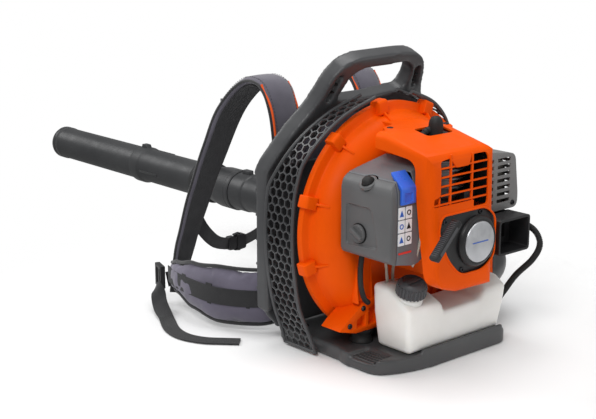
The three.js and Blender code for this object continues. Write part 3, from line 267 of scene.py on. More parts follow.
def tank_material():
    shader = Shader("tank_plastic", 0.36)
    shader.color((0.86, 0.85, 0.82), (0.78, 0.77, 0.735), 11.0)
    shader.roughness(0.3, 0.42, 60.0)
    shader.bump(shader.noise(320.0, 2.0), 0.05, 0.0004)
    shader.bump(shader.noise(14.0, 2.0), 0.1, 0.002)
    shader.set(Subsurface_Weight=0.35, Subsurface_Scale=0.02, Subsurface_Radius=(1.0, 0.95, 0.85), IOR=1.5)
    return shader.material


def hose_material():
    shader = Shader("clear_hose", 0.22)
    shader.color((0.62, 0.58, 0.5), (0.5, 0.45, 0.36), 60.0)
    shader.bump(shader.noise(200.0, 1.0), 0.05, 0.0003)
    shader.set(Transmission_Weight=0.45, IOR=1.42, Coat_Weight=0.3)
    return shader.material


TANK = tank_material()
CLEAR = hose_material()
MATERIALS_OF = {
    "orange_plastic": [ORANGE], "grey_plastic": [GREY, FRAME_GREY, DECK, COVER_GREY, TUBE_GREY],
    "black_plastic": [BLACK, SHADE_AND_INK], "rubber": [RUBBER], "light_grey_plastic": [WHITE, RED],
    "webbing": [WEBBING, BINDING], "mesh_fabric": [MESH_CLOTH, SATIN, ORANGE_TRIM], "clear_hose": [CLEAR],
    "tank_plastic": [TANK], "badge": [BADGE, LABEL_BLUE], "steel": [SCREW],
}
USUAL_SLOT = {material.name: slot for slot, materials in MATERIALS_OF.items() for material in materials}


# ------------------------------------------------------------------ forms, in millimetres
def turns(count):
    """Angles at even steps round a full turn."""
    return [2 * math.pi * k / count for k in range(count)]


def placed(at, degrees, axis):
    return Matrix.Translation(at) @ Matrix.Rotation(math.radians(degrees), 4, axis)


class Form:
    """A mesh being built up; each method adds a shape to it and returns it."""

    def __init__(self):
        self.verts = []
        self.faces = []
        self.uvs = []

    def add(self, verts, faces, uvs=None):
        start = len(self.verts)
        self.verts.extend(Vector(v) for v in verts)
        self.faces.extend([start + i for i in face] for face in faces)
        self.uvs.extend(uvs or [(v[0] * MM, v[1] * MM) for v in verts])
        return self

    def loft(self, rings, closed=False, uvs=None):
        count = len(rings[0])
        verts = [v for ring in rings for v in ring]
        faces = []
        last = len(rings) if closed else len(rings) - 1
        for i in range(last):
            below = i * count
            above = ((i + 1) % len(rings)) * count
            for k in range(count):
                j = (k + 1) % count
                faces.append([below + k, below + j, above + j, above + k])
        if not closed:
            faces.append(list(range(count))[::-1])
            faces.append([(len(rings) - 1) * count + k for k in range(count)])
        return self.add(verts, faces, uvs)

    def lathe(self, profile, origin, axis, segments, closed=True):
        turn = direction(axis)
        rings = []
        for angle in turns(segments):
            spoke = Vector((math.cos(angle), math.sin(angle), 0))
            rings.append([turn @ (spoke * r + Vector((0, 0, h))) + Vector(origin) for r, h in profile])
        count = len(profile)
        faces = []
        steps = count if closed else count - 1
        for k in range(segments):
            here = k * count
            there = ((k + 1) % segments) * count
            for i in range(steps):
                j = (i + 1) % count
                faces.append([here + i, there + i, there + j, here + j])
        return self.add([v for ring in rings for v in ring], faces)

    def prism(self, outline, axis, low, high):
        """Outline in (Y, Z), (X, Z) or (X, Y) pushed along X, Y or Z."""
        place = {
            "X": lambda u, v, w: (w, u, v), "Y": lambda u, v, w: (u, w, v), "Z": lambda u, v, w: (u, v, w),
        }[axis]
        return self.loft([[place(u, v, low) for u, v in outline], [place(u, v, high) for u, v in outline]])

    def box(self, low, high):
        (x0, y0, z0), (x1, y1, z1) = low, high
        return self.prism([(x0, y0), (x1, y0), (x1, y1), (x0, y1)], "Z", z0, z1)

    def tube(self, points, radius, sides):
        return self.loft([round_ring(*station, radius, sides) for station in frames(points)])

    def moved(self, matrix):
        self.verts = [matrix @ v for v in self.verts]
        return self


def round_ring(point, side, normal, radius, sides):
    return [point + (side * math.cos(a) + normal * math.sin(a)) * radius for a in turns(sides)]


def lathe(*shape, **options):
    return Form().lathe(*shape, **options)


def prism(*shape):
    return Form().prism(*shape)


def box(low, high):
    return Form().box(low, high)


def tube(points, radius, sides):
    return Form().tube(points, radius, sides)


def loft(rings, **options):
    return Form().loft(rings, **options)


def direction(axis):
    if isinstance(axis, str):
        axis = {"X": (1, 0, 0), "Y": (0, 1, 0), "Z": (0, 0, 1)}[axis]
    return Vector((0, 0, 1)).rotation_difference(Vector(axis).normalized()).to_matrix()


def frames(points, start=None):
    """Point, side and normal along a path, turned as little as possible."""
    points = [Vector(p) for p in points]
    tangents = []
    for i, _ in enumerate(points):
        ahead = points[min(i + 1, len(points) - 1)]
        behind = points[max(i - 1, 0)]
        tangents.append((ahead - behind).normalized())
    side = Vector(start) if start else tangents[0].orthogonal()
    result = []
    for point, along in zip(points, tangents):
        side = (side - along * side.dot(along)).normalized()
        result.append((point, side, along.cross(side)))
    return result


def spline(points, steps):
    """Evenly spaced points on a smooth curve through the given ones."""
    points = [Vector(p) for p in points]
    dense = []
    for i in range(len(points) - 1):
        before = points[i - 1] if i else points[0] * 2 - points[1]
        after = points[i + 2] if i + 2 < len(points) else points[-1] * 2 - points[-2]
        reach_out = (points[i + 1] - before) / 6
        reach_in = (after - points[i]) / 6
        for k in range(16):
            t = k / 16
            u = 1 - t
            a, b, c, d = points[i], points[i] + reach_out, points[i + 1] - reach_in, points[i + 1]
            dense.append(a * u**3 + b * 3 * u * u * t + c * 3 * u * t * t + d * t**3)
    dense.append(points[-1])
    lengths = [0.0]
    for a, b in zip(dense, dense[1:]):
        lengths.append(lengths[-1] + (b - a).length)
    result = []
    index = 0
    for k in range(steps + 1):
        target = lengths[-1] * k / steps
        while index < len(dense) - 2 and lengths[index + 1] < target:
            index += 1
        gap = lengths[index + 1] - lengths[index]
        t = (target - lengths[index]) / gap if gap else 0
        result.append(dense[index].lerp(dense[index + 1], min(1, max(0, t))))
    return result


def rounded(corners, radius, steps=4):
    """Closed outline with its corners rounded; a corner may carry its own radius."""
    result = []
    count = len(corners)
    for i, corner in enumerate(corners):
        here = Vector(corner[:2])
        size = corner[2] if len(corner) > 2 else radius
        before = Vector(corners[i - 1][:2]) - here
        after = Vector(corners[(i + 1) % count][:2]) - here
        reach = min(size, before.length / 2.05, after.length / 2.05)
        if reach < 0.01:
            result.append(tuple(here))
            continue
        start = here + before.normalized() * reach
        end = here + after.normalized() * reach
        for k in range(steps + 1):
            t = k / steps
            result.append(tuple(start * (1 - t) ** 2 + here * 2 * t * (1 - t) + end * t * t))
    return result


def rectangle(left, low, right, high, radius, steps=4):
    return rounded([(left, low), (right, low), (right, high), (left, high)], radius, steps)


# ------------------------------------------------------------------ making pieces
def mesh_object(name, form):
    mesh = bpy.data.meshes.new(name)
    mesh.from_pydata([v * MM for v in form.verts], [], form.faces)
    layer = mesh.uv_layers.new(name="UVMap")
    for loop in mesh.loops:
        layer.data[loop.index].uv = form.uvs[loop.vertex_index]
    piece = bpy.data.objects.new(name, mesh)
    bpy.context.scene.collection.objects.link(piece)
    clean(piece)
    return piece


WELD = 0.000004


def clean(piece, flatten=0.0, weld=WELD, collapse=0.0):
    """Weld close points, drop points of flat faces or short edges, and face everything outward."""
    work = bmesh.new()
    work.from_mesh(piece.data)
    bmesh.ops.remove_doubles(work, verts=work.verts, dist=weld)
    if collapse:
        bmesh.ops.dissolve_degenerate(work, edges=work.edges, dist=collapse)
    if flatten:
        bmesh.ops.dissolve_limit(work, angle_limit=flatten, verts=work.verts, edges=work.edges)
    bmesh.ops.recalc_face_normals(work, faces=work.faces)
    work.to_mesh(piece.data)
    work.free()


def apply_modifiers(piece):
    graph = bpy.context.evaluated_depsgraph_get()
    mesh = bpy.data.meshes.new_from_object(piece.evaluated_get(graph))
    old = piece.data
    piece.modifiers.clear()
    piece.data = mesh
    bpy.data.meshes.remove(old)


def soften(piece, bevel, segments=2, limit=30.0, smooth=38.0):
    """Round the edges as moulded plastic has them, and shade by angle; both angles in degrees."""
    if bevel:
        edge = piece.modifiers.new("edges", "BEVEL")
        edge.width = bevel * MM
        edge.segments = segments
        edge.angle_limit = math.radians(limit)
        edge.limit_method = "ANGLE"
        edge.use_clamp_overlap = True
        apply_modifiers(piece)
    shade_smooth(piece)
    piece.data.set_sharp_from_angle(angle=math.radians(smooth))


def shade_smooth(piece):
    for polygon in piece.data.polygons:
        polygon.use_smooth = True


def carve(piece, form, operation="DIFFERENCE"):
    cutter = mesh_object("cutter", form) if isinstance(form, Form) else form
    boolean = piece.modifiers.new("cut", "BOOLEAN")
    boolean.operation = operation
    boolean.solver = "EXACT"
    boolean.object = cutter
    apply_modifiers(piece)
    bpy.data.objects.remove(cutter)


def finish_piece(piece, material, node, body="backpack", slot=None):
    """Dress a piece; one that stands for a CAD node takes that node's body."""
    piece.data.materials.clear()
    piece.data.materials.append(material)
    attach(piece, BODY_OF[node] if node else body)
    if node:
        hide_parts(node)
    SLOT_OF[node] if node else slot or USUAL_SLOT[material.name]
    return piece


def make(
    name, form, material, node=None, body="backpack", slot=None, bevel=0.0, segments=2, smooth=38.0,
    cuts=(),
):
    piece = mesh_object(name, form)
    for cutter in cuts:
        carve(piece, cutter)
    soften(piece, bevel, segments, smooth=smooth)
    return finish_piece(piece, material, node, body, slot)


def remesh(piece, voxel):
    grid = piece.modifiers.new("remesh", "REMESH")
    grid.mode = "VOXEL"
    grid.voxel_size = voxel * MM


def melt(piece, voxel, rounds):
    """Rounds every edge of a piece, inside and outside, as a soft moulding has them."""
    remesh(piece, voxel)
    even = piece.modifiers.new("even", "SMOOTH")
    even.factor = 0.5
    even.iterations = rounds
    apply_modifiers(piece)
    shade_smooth(piece)


def refine(node, material, bevel, segments=2, smooth=38.0, melted=None):
    """The node's own shape with rounded edges; melted gives the voxel size and the rounds of smoothing."""
    source = NODES[node].data
    mesh = bpy.data.meshes.new(node + "_fine")
    mesh.from_pydata(
        [v.co.copy() for v in source.vertices], [], [list(p.vertices) for p in source.polygons],
    )
    piece = bpy.data.objects.new(node + "_fine", mesh)
    bpy.context.scene.collection.objects.link(piece)
    clean(piece, math.radians(1.5))
    if melted:
        melt(piece, *melted)
    else:
        soften(piece, bevel, segments, smooth=smooth)
    finish_piece(piece, material, node)


def screw(name, at, axis, radius, depth):
    """Cap screw with a six-lobed drive, standing on the face at the given point."""
    profile = [(0, -2), (radius, -2), (radius, depth - 1), (radius - 0.9, depth), (0, depth)]
    head = lathe(profile, at, axis, 24, closed=False)
    lobes = []
    for angle in turns(24):
        reach = radius * (0.5 + 0.08 * math.cos(6 * angle))
        lobes.append((reach * math.cos(angle), reach * math.sin(angle)))
    turn = direction(axis)
    drive = loft(
        [[turn @ Vector((u, v, h)) + Vector(at) for u, v in lobes] for h in (depth - 1.6, depth + 1)]
    )
    make(name, head, SCREW, cuts=[drive])


# ------------------------------------------------------------------ fan housing and screens
OUTLET_FLANGE = rectangle(-46, 52, 38, 146, 14)


def housing():
    outside = [
        (14, -12), (100, -13), (128, -14), (141, -13.4), (153, -10), (164, -3.5), (173, 5), (179, 15),
        (182, 24), (184, 29), (190, 30.5), (198, 31), (198, 42),
    ]
    smooth = [tuple(p[:2]) for p in spline([(r, y, 0) for r, y in outside[1:10]], 26)]
    inside = [(178, 42), (178, 26), (168, 8), (150, -4), (126, -8), (14, -8)]
    shell = lathe([outside[0], *smooth, *outside[10:], *inside], FAN_AXIS, "Y", 128)
    body = mesh_object("housing_outer", shell)
    boss = lathe([(14, -45), (38, -45), (41, -42), (46, -20), (60, -11), (14, -9)], FAN_AXIS, "Y", 64)
    carve(body, box((-260, -60, -40), (260, 80, HOUSING_FLOOR)))
    carve(body, boss, "UNION")
    horn = lathe([(41, -30), (44, -30), (44, 0), (41, 0)], (ELBOW_START - 0.6, OUTLET_Y, TUBE_Z), "X", 48)
    flange = prism(OUTLET_FLANGE, "X", 172, ELBOW_START - 0.6)
    hole = prism(ring_outline(41, 40, OUTLET_Y, TUBE_Z), "X", 150, 190)
    carve(body, flange, "UNION")
    carve(body, box((ELBOW_START - 0.5, -60, 40), (ELBOW_START + 40, RIM_Y + 10, TUBE_Z + 52)))
    carve(body, hole)
    soften(body, 1.2, 2, 32, 34)
    finish_piece(body, ORANGE, "fan_housing_outer")
    make("housing_horn", horn, ORANGE, smooth=30)
    housing_lugs()
    housing_feet()


def ring_outline(radius, count, u=0.0, v=0.0):
    return [(u + radius * math.cos(a), v + radius * math.sin(a)) for a in turns(count)]


LUG_ANGLES = [195, 163, 131, 99, 67, 35, 3]


def housing_lugs():
    for index, angle in enumerate(LUG_ANGLES):
        outline = rounded([(182, 18), (206.5, 20), (206.5, 41.6), (182, 41.6)], 5, 4)
        spin = placed(FAN_AXIS, -angle, "Y")
        name = f"housing_lug_{index}"
        block = prism(outline, "Z", -10, 10).moved(spin)
        make(name, block, ORANGE, bevel=3.2, segments=4)
        rib = prism([(172, 2), (190, 22), (172, 22)], "Z", -2, 2).moved(spin)
        make(f"{name}_rib", rib, ORANGE, bevel=0.8)


def fan_space(grow):
    """Everything inside the outer fan housing's wall, for cutting neighbours back to it."""
    profile = [
        (0, -12 - grow), (128, -12 - grow), (150, -8 - grow), (168 + grow, 2), (181 + grow, 19),
        (184 + grow, 28 - grow), (198 + grow, 29 - grow), (198 + grow, 60), (0, 60),
    ]
    return lathe(profile, FAN_AXIS, "Y", 96, closed=False)


def housing_feet():
    for side, name in HAND.items():
        web = [
            (side * 156, HOUSING_FLOOR + 10), (side * 146, HOUSING_FLOOR + 19),
            (side * 112, HOUSING_FLOOR + 42), (side * 62, HOUSING_FLOOR + 60), (side * 62, HOUSING_FLOOR),
            (side * 120, HOUSING_FLOOR),
        ]
        foot = prism(web, "Y", -20, 24)
        pockets = [
            [(side * 98, 56), (side * 118, 56), (side * 118, 70), (side * 98, 78)],
            [(side * 70, 56), (side * 92, 56), (side * 92, 84), (side * 70, 94)],
        ]
        cuts = [prism(pocket, "Y", -30, -8) for pocket in pockets]
        cuts.append(fan_space(-2))
        make(f"housing_foot_{name}", foot, ORANGE, bevel=2, cuts=cuts)
        for index, (x, z) in enumerate(((134, 63), (104, 87))):
            screw(f"foot_screw_{name}_{index}", (side * x, -20.2, z), (0, -1, 0), 4.6, 2.2)
    # stiffening ribs on the housing under the filter box
    for index, x in enumerate((-116, -100, -84)):
        rib = prism([(-20, 96), (-6, 96), (-6, 178), (-13, 178)], "X", x, x + 2.6)
        make(f"housing_rib_{index}", rib, ORANGE, bevel=0.8)


def inner_housing():
    y = RIM_Y + 0.4
    shell = lathe(
        [
            (98, y + 24), (100, y + 33), (106, y + 36), (114, y + 35), (128, y + 29), (168, y + 26),
            (178, y + 20), (182, y + 12), (182, y), (176, y), (176, y + 11), (167, y + 22),
        ],
        FAN_AXIS, "Y", 96,
    )
    floor = box((-260, 0, -40), (260, 120, HOUSING_FLOOR))
    make("housing_inner", shell, BLACK, "fan_housing_inner", cuts=[floor])
    # intake guard: rings and spokes over the inlet
    for index, radius in enumerate((30, 52, 74, 95)):
        ring = [Vector((FAN_X + u, y + 30, FAN_Z + v)) for u, v in ring_outline(radius, 64)]
        ring.append(ring[0])
        make(f"inlet_ring_{index}", tube(ring, 1.6, 8), BLACK)
    for index in range(8):
        angle = math.pi * index / 4
        ray = Vector((math.cos(angle), 0, math.sin(angle)))
        centre = Vector((FAN_X, y + 30, FAN_Z))
        spoke = tube([centre + ray * 28, centre + ray * 99], 1.9, 8)
        make(f"inlet_spoke_{index}", spoke, BLACK)


SCREEN_STEPS = 200
SCREEN_PATH = spline(
    [
        (-150, 0, 3), (-160, 0, 34), (-178, 0, 84), (-189, 0, 150), (-192, 0, 220), (-183, 0, 290),
        (-154, 0, 350), (-104, 0, 394), (-40, 0, 420),
    ],
    SCREEN_STEPS,
)
SCREEN_LENGTH = sum((b - a).length for a, b in zip(SCREEN_PATH, SCREEN_PATH[1:]))
HEX_PITCH = 15.3
HEX_HOLE = 7.5
SCREEN_WALL = 3
SCREEN_BORDER = 3.6
BEAD_R = 3.1
BEAD_LIFT = 1.6


def screen_at(s):
    step = SCREEN_LENGTH / SCREEN_STEPS
    index = min(SCREEN_STEPS - 1, max(0, int(s / step)))
    a, b = SCREEN_PATH[index], SCREEN_PATH[index + 1]
    along = (b - a).normalized()
    return a.lerp(b, min(1, max(0, s / step - index))), along, Vector((-along.z, 0, along.x))


def screen_edges(s):
    at = screen_at(s)[0]
    lean = 0 if at.z < 280 else (at.z - 280) * math.tan(LEAN)
    rear = 40 + s / 9 if s < 90 else 50 - max(0, at.z - 320) * 0.3
    return rear, 120 - lean


def screen(name, mirror):
    """Pointed hexagons in staggered rows on the bent strip, with a plain border."""
    form = Form()

    def point(s, y, depth):
        at, _, out = screen_at(s)
        rear, front = screen_edges(s)
        place = at + out * depth
        x = place.x if not mirror else -place.x
        return Vector((x, min(max(y, rear), front), place.z))

    rows = HEX_PITCH * math.sqrt(3) / 2
    count = int((SCREEN_LENGTH - 12) / rows)
    for row in range(-1, count):
        s = 10 + row * rows
        for column in range(-3, 8):
            y = 44 + column * HEX_PITCH + (row % 2) * HEX_PITCH / 2
            rear, front = screen_edges(s)
            if y + HEX_PITCH / 2 < rear or y - HEX_PITCH / 2 > front:
                continue
            outer = []
            inner = []
            for k in range(6):
                angle = math.pi * k / 3
                u, v = math.cos(angle), math.sin(angle)
                reach = HEX_PITCH / math.sqrt(3)
                outer.append((s + reach * u, y + reach * v))
                kept = min(max(y + HEX_HOLE * v, rear + SCREEN_BORDER), front - SCREEN_BORDER)
                inner.append((s + HEX_HOLE * u, kept))
            if row < 0 or max(v for _, v in inner) - min(v for _, v in inner) < 4:
                form.add([point(*p, 0) for p in outer], [[0, 1, 2, 3, 4, 5]])
                continue
            verts = [point(*p, 0) for p in outer + inner]
            form.add(verts, [[k, (k + 1) % 6, 6 + (k + 1) % 6, 6 + k] for k in range(6)])
    piece = mesh_object(name, form)
    clean(piece, weld=0.0009, collapse=0.0003)
    thick = piece.modifiers.new("wall", "SOLIDIFY")
    thick.thickness = SCREEN_WALL * MM
    thick.offset = 0
    apply_modifiers(piece)
    soften(piece, 0.5, 1, 40, 40)
    side = "right" if mirror else "left"
    finish_piece(piece, FRAME_GREY, f"intake_screen_{side}")
    # raised beads along both edges
    for label, pick, inset in (("rear", 0, 2.0), ("front", 1, -2.0)):
        path = []
        for k in range(61):
            s = 2 + (SCREEN_LENGTH - 4) * k / 60
            path.append(point(s, screen_edges(s)[pick] + inset, BEAD_LIFT))
        bead = tube(path, BEAD_R, 10)
        make(f"{name}_bead_{label}", bead, FRAME_GREY)
    rear, front = screen_edges(3)
    sill_path = [point(3, rear + 1 + (front - rear - 2) * k / 8, BEAD_LIFT) for k in range(9)]
    sill = tube(sill_path, BEAD_R, 10)
    make(f"{name}_bead_foot", sill, FRAME_GREY)


# ------------------------------------------------------------------ tubes
def tube_part(name, outer, bore, node, segments=96):
    profile = [*outer, (bore, outer[-1][1]), (bore, outer[0][1])]
    form = lathe(profile, TUBE_AXIS, "Y", segments)
    make(name, form, TUBE_GREY, node, smooth=32)


def elbow():
    rings = []
    bend = TUBE_X - ELBOW_START
    stations = [
        (ELBOW_START + bend * math.sin(a), OUTLET_Y + bend * (1 - math.cos(a)), a)
        for a in (math.pi / 2 * k / 20 for k in range(21))
    ]
    stations.append((TUBE_X, ELBOW_END - 14, math.pi / 2))
    stations.append((TUBE_X, ELBOW_END, math.pi / 2))
    for radius, order in ((HOSE_R, stations), (HOSE_R - 4, stations[::-1])):
        for x, y, angle in order:
            side = Vector((math.sin(angle), -math.cos(angle), 0))
            rings.append(
                [
                    Vector((x, y, TUBE_Z + radius * math.sin(t))) + side * radius * math.cos(t)
                    for t in turns(56)
                ]
            )
    form = loft(rings, closed=True)
    make("elbow", form, TUBE_GREY, "outlet_elbow", smooth=34)
    flange = prism(OUTLET_FLANGE, "X", ELBOW_START, ELBOW_START + 7)
    hole = prism(ring_outline(HOSE_R - 2, 48, OUTLET_Y, TUBE_Z), "X", 170, 200)
    make("elbow_flange", flange, TUBE_GREY, bevel=1.6, cuts=[hole])
    for index, (y, z) in enumerate(((-39, 139), (31, 139), (-39, 59), (31, 59))):
        screw(f"elbow_screw_{index}", (ELBOW_START + 7, y, z), (1, 0, 0), 4.2, 2.0)
    clamp = [
        (HOSE_R - 1, ELBOW_END - 13), (HOSE_R + 2, ELBOW_END - 12), (HOSE_R + 2, ELBOW_END - 3),
        (HOSE_R - 1, ELBOW_END - 2),
    ]
    make("elbow_band", lathe(clamp, TUBE_AXIS, "Y", 72), BLACK, smooth=30)


def bellows(name, start, end, node, first, second):
    """Ribbed rubber hose along the tube between the two bodies."""
    folds = 11
    step = (end - start) / folds
    outer = []
    inner = []
    for i in range(folds * 10 + 1):
        t = i / (folds * 10)
        wave = 0.5 - 0.5 * math.cos(2 * math.pi * t * folds)
        lift = wave**0.7 * 5.2
        y = start + (end - start) * t
        outer.append((HOSE_R - 5.4 + lift, y))
        inner.append((HOSE_R - 7.6 + lift, y))
    form = lathe(outer + inner[::-1], TUBE_AXIS, "Y", 56)
    bending(name, form, first, second, start + step, end - step, node)


def bending(name, form, first, second, low, high, node=None):
    """Rubber piece along the hose, in place of its node when one is given."""
    piece = mesh_object(name, form)
    soften(piece, 0, smooth=60)
    piece.data.materials.append(RUBBER)
    if node:
        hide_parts(node)
    start, end = ((TUBE_X * MM, y * MM, TUBE_Z * MM) for y in (low, high))
    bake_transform(piece)
    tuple(start)
    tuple(end)


def tubes():
    elbow()
    bellows("bellows_rear", ELBOW_END + 0.2, RING_START - 0.2, "hose_bellows_rear", "backpack", "hose_ring")
    ring = [
        (HOSE_R - 3, 198), (HOSE_R, 200), (HOSE_R + 1, 202), (HOSE_R + 1, 207), (HOSE_R - 1, 209),
        (HOSE_R - 1, 212), (HOSE_R + 1, 214), (HOSE_R + 1, 219), (HOSE_R - 3, 222),
    ]
    tube_part("ring", ring, HOSE_R - 8, "hose_ring", 80)
    bellows(
        "bellows_front", RING_END + 0.2, CONNECTOR_START - 0.2, "hose_bellows_front", "hose_ring",
        "control_tube",
    )
    start = CONNECTOR_START
    connector = [
        (HOSE_R - 2, start), (HOSE_R, start + 1.5), (HOSE_R, start + 12), (HOSE_R - 1.4, start + 13),
        (HOSE_R - 1.4, start + 17), (HOSE_R, start + 18), (HOSE_R, start + 38), (HOSE_R - 0.6, start + 42),
        (TUBE_R + 2.4, start + 52), (TUBE_R + 1.2, start + 60), (TUBE_R + 0.4, CONNECTOR_END - 44),
        (TUBE_R + 2.4, CONNECTOR_END - 41), (TUBE_R + 3, CONNECTOR_END - 38),
        (TUBE_R + 3, CONNECTOR_END - 1.5), (TUBE_R + 1.5, CONNECTOR_END),
    ]
    tube_part("connector", connector, TUBE_R - 2.6, "connector_tube")
    lug = box((TUBE_X - 7, CONNECTOR_END - 34, TUBE_Z + 38), (TUBE_X + 7, CONNECTOR_END - 10, TUBE_Z + 50))
    make("connector_lug", lug, TUBE_GREY, body="control_tube", bevel=2, segments=3)
    start = CONNECTOR_END + 0.4
    middle = [
        (HOSE_R - 1, start), (HOSE_R + 1, start + 2), (HOSE_R + 1, start + 8), (HOSE_R + 0.2, start + 9),
        (HOSE_R + 0.2, start + 12), (HOSE_R + 1, start + 13), (HOSE_R + 1, start + 46),
        (HOSE_R, start + 54), (TUBE_R + 2, start + 76), (TUBE_R + 0.4, start + 88), (TUBE_R, MID_END - 36),
        (TUBE_R + 3.4, MID_END - 30), (TUBE_R + 4, MID_END - 27), (TUBE_R + 4, MID_END - 2),
        (TUBE_R + 2, MID_END),
    ]
    tube_part("middle_tube", middle, TUBE_R - 2.6, "mid_tube")
    catch = prism(
        [
            (MID_END - 30, TUBE_Z + 40), (MID_END - 24, TUBE_Z + 50), (MID_END - 6, TUBE_Z + 50),
            (MID_END - 4, TUBE_Z + 40),
        ],
        "X", TUBE_X - 7, TUBE_X + 7,
    )
    make("tube_catch", catch, TUBE_GREY, body="mid_tube", bevel=1.6, segments=3)
    for index, angle in enumerate((20, 140, 260)):
        turn = placed(TUBE_AXIS, angle, "Y")
        rib = box((-3, MID_END - 110, TUBE_R - 1.5), (3, MID_END - 37, TUBE_R + 1.6)).moved(turn)
        make(f"tube_rib_{index}", rib, TUBE_GREY, body="mid_tube", bevel=0.8)
    start = MID_END + 0.4
    nozzle = [
        (TUBE_R - 1, start), (TUBE_R, start + 2), (TUBE_R - 0.6, start + 6), (TUBE_R - 0.6, start + 10),
        (TUBE_R, start + 12), (TUBE_R, NOZZLE_END - 30), (TUBE_R + 1.5, NOZZLE_END - 27),
        (TUBE_R + 1.5, NOZZLE_END - 18), (TUBE_R + 0.4, NOZZLE_END - 16), (TUBE_R + 0.4, NOZZLE_END - 13),
        (TUBE_R + 1.5, NOZZLE_END - 11), (TUBE_R + 1.5, NOZZLE_END - 3), (TUBE_R, NOZZLE_END),
    ]
    tube_part("nozzle", nozzle, TUBE_R - 2.6, "nozzle_tube")


# ------------------------------------------------------------------ base and back frame
def base():
    refine("base_plate", DECK, 0, melted=(2.6, 9))
    for index, x in enumerate(range(-48, 130, 22)):
        rib = box((x, -104, 23), (x + 3, -40, 26.5))
        make(f"base_rib_{index}", rib, DECK, bevel=0.8)
    # soft grooved pad in the foot rest
    for index in range(5):
        x = -139 + index * 8
        ridge = prism(rectangle(x, 15, x + 4.2, 19, 1.6), "Y", -81, -33)
        make(f"foot_ridge_{index}", ridge, DECK, bevel=0.6)
    for side, x in (("left", -112), ("right", 112)):
        screw(f"base_bolt_{side}", (x, 112, 24), (0, 0, 1), 6, 3)


def leaning(u, v, w):
    """Point of the sloping top of the frame: v up the slope and w out of its rear face."""
    up = Vector((0, -math.sin(LEAN), math.cos(LEAN)))
    out = Vector((0, -math.cos(LEAN), -math.sin(LEAN)))
    return Vector((u, 140, 300)) + up * v + out * w


def leaning_prism(outline, low, high):
    return loft([[leaning(u, v, low) for u, v in outline], [leaning(u, v, high) for u, v in outline]])


def back_frame():
    refine("back_frame", FRAME_GREY, 0, melted=(3.0, 10))
    # each slot in the frame's top is filled with a dark plate and dark bars, painted shade
    slots = [
        rounded([(-104, 128), (-92, 176), (-81, 178), (-92, 128)], 5),
        rounded([(86, 176), (96, 178), (104, 136), (92, 134)], 5),
    ]
    for index, outline in enumerate(slots):
        make(f"frame_recess_{index}", leaning_prism(outline, 5.5, 7.5), SHADE_AND_INK)
        for k in range(2):
            left = (-95 if index == 0 else 91) + k * 2
            low = 143 + k * 14
            bar = [(left, low), (left + 8, low), (left + 8, low + 3), (left, low + 3)]
            form = leaning_prism(bar, 6, 12)
            make(f"frame_recess_{index}_bar_{k}", form, SHADE_AND_INK, bevel=0.6)
    # strap anchors on the shoulders, and the hard edge ribs down both sides
    for side, name in HAND.items():
        plate = rounded([(side * 60, 40), (side * 128, 40), (side * 116, 66), (side * 66, 78)], 6)
        make(f"anchor_{name}", leaning_prism(plate, -20, -12), FRAME_GREY, bevel=1.5)
        for k in range(5):
            z = 96 + k * 42
            rib = box((side * 176 - 9, 150, z), (side * 176 + 9, 155, z + 4))
            make(f"rail_rib_{name}_{k}", rib, FRAME_GREY, bevel=0.8)


def rubber_mounts():
    for name, x in (("left", -90), ("right", 96)):
        profile = [
            (0, 24.4), (19, 24.4), (19.4, 27), (17.4, 30), (16, 35), (17, 41), (19.4, 44), (19, 47.6),
            (0, 47.6),
        ]
        form = lathe(profile, (x, -2, 0), "Z", 48, closed=False)
        make(f"mount_{name}", form, RUBBER, f"av_mount_{name}", smooth=50)


# ------------------------------------------------------------------ engine side
def cover_block(inset):
    """The engine cover's outside, or its inside when inset, with large rounded corners."""
    rear = COVER_REAR + inset
    huge, large, small = 25 - inset, 19 - inset, 12 - inset
    # upright walls with the two round rear corners, leaning out to the left
    levels = []
    for z, left, right in ((90, -80, 56), (225, -92, 53), (308, -104, 51), (420, -104, 48)):
        left, right = left + inset, right - inset
        outline = rounded([(left, rear, large), (right, rear, huge), (right, 90, 0), (left, 90, 0)], 0, 6)
        levels.append([(x, y, z) for x, y in outline])
    block = mesh_object("cover_block", loft(levels))
    # sloping top with its long round edges, and the round lower left corner
    spans = []
    for y, top in ((COVER_REAR - 10, 357), (COVER_REAR, 357), (-64, 380), (95, 384)):
        outline = [
            (-78 + inset, 147 + inset, large), (-34, 133 + inset, large), (60, 131 + inset, 0),
            (49 - inset, top - inset, huge), (-104 + inset, top - inset, small), (-104 + inset, 308, 0),
            (-92 + inset, 225, 0),
        ]
        spans.append([(x, y, z) for x, z in rounded(outline, 0, 6)])
    carve(block, loft(spans), "INTERSECT")
    # round edges between the rear face, the top and the underside
    slices = []
    for x, bottom in ((-140, 148), (-76, 146), (-34, 133), (60, 131), (90, 131)):
        outline = [
            (95, bottom + inset, 0), (rear, bottom + inset, small), (rear, 357 - inset, huge),
            (-64, 380 - inset, large), (95, 384 - inset, 0),
        ]
        slices.append([(x, y, z) for y, z in rounded(outline, 0, 6)])
    carve(block, loft(slices), "INTERSECT")
    # the filter box stands in a notch, and the front left corner is stepped back
    notch = [
        (COVER_REAR + 31 - inset, -10, 0), (COVER_REAR + 31 - inset, 347 + inset, 20),
        (-30, 357 + inset, 0), (120, 357 + inset, 0), (120, -10, 0),
    ]
    carve(block, prism(rounded(notch, 0, 7), "X", -400, -59 + inset))
    corner = [
        (-400, -42 - inset), (-82, -42 - inset), (-70, -24 - inset), (-38 + inset, -14 - inset),
        (-34 + inset, 120), (-400, 120),
    ]
    carve(block, prism(corner, "Z", 40, 420))
    return block


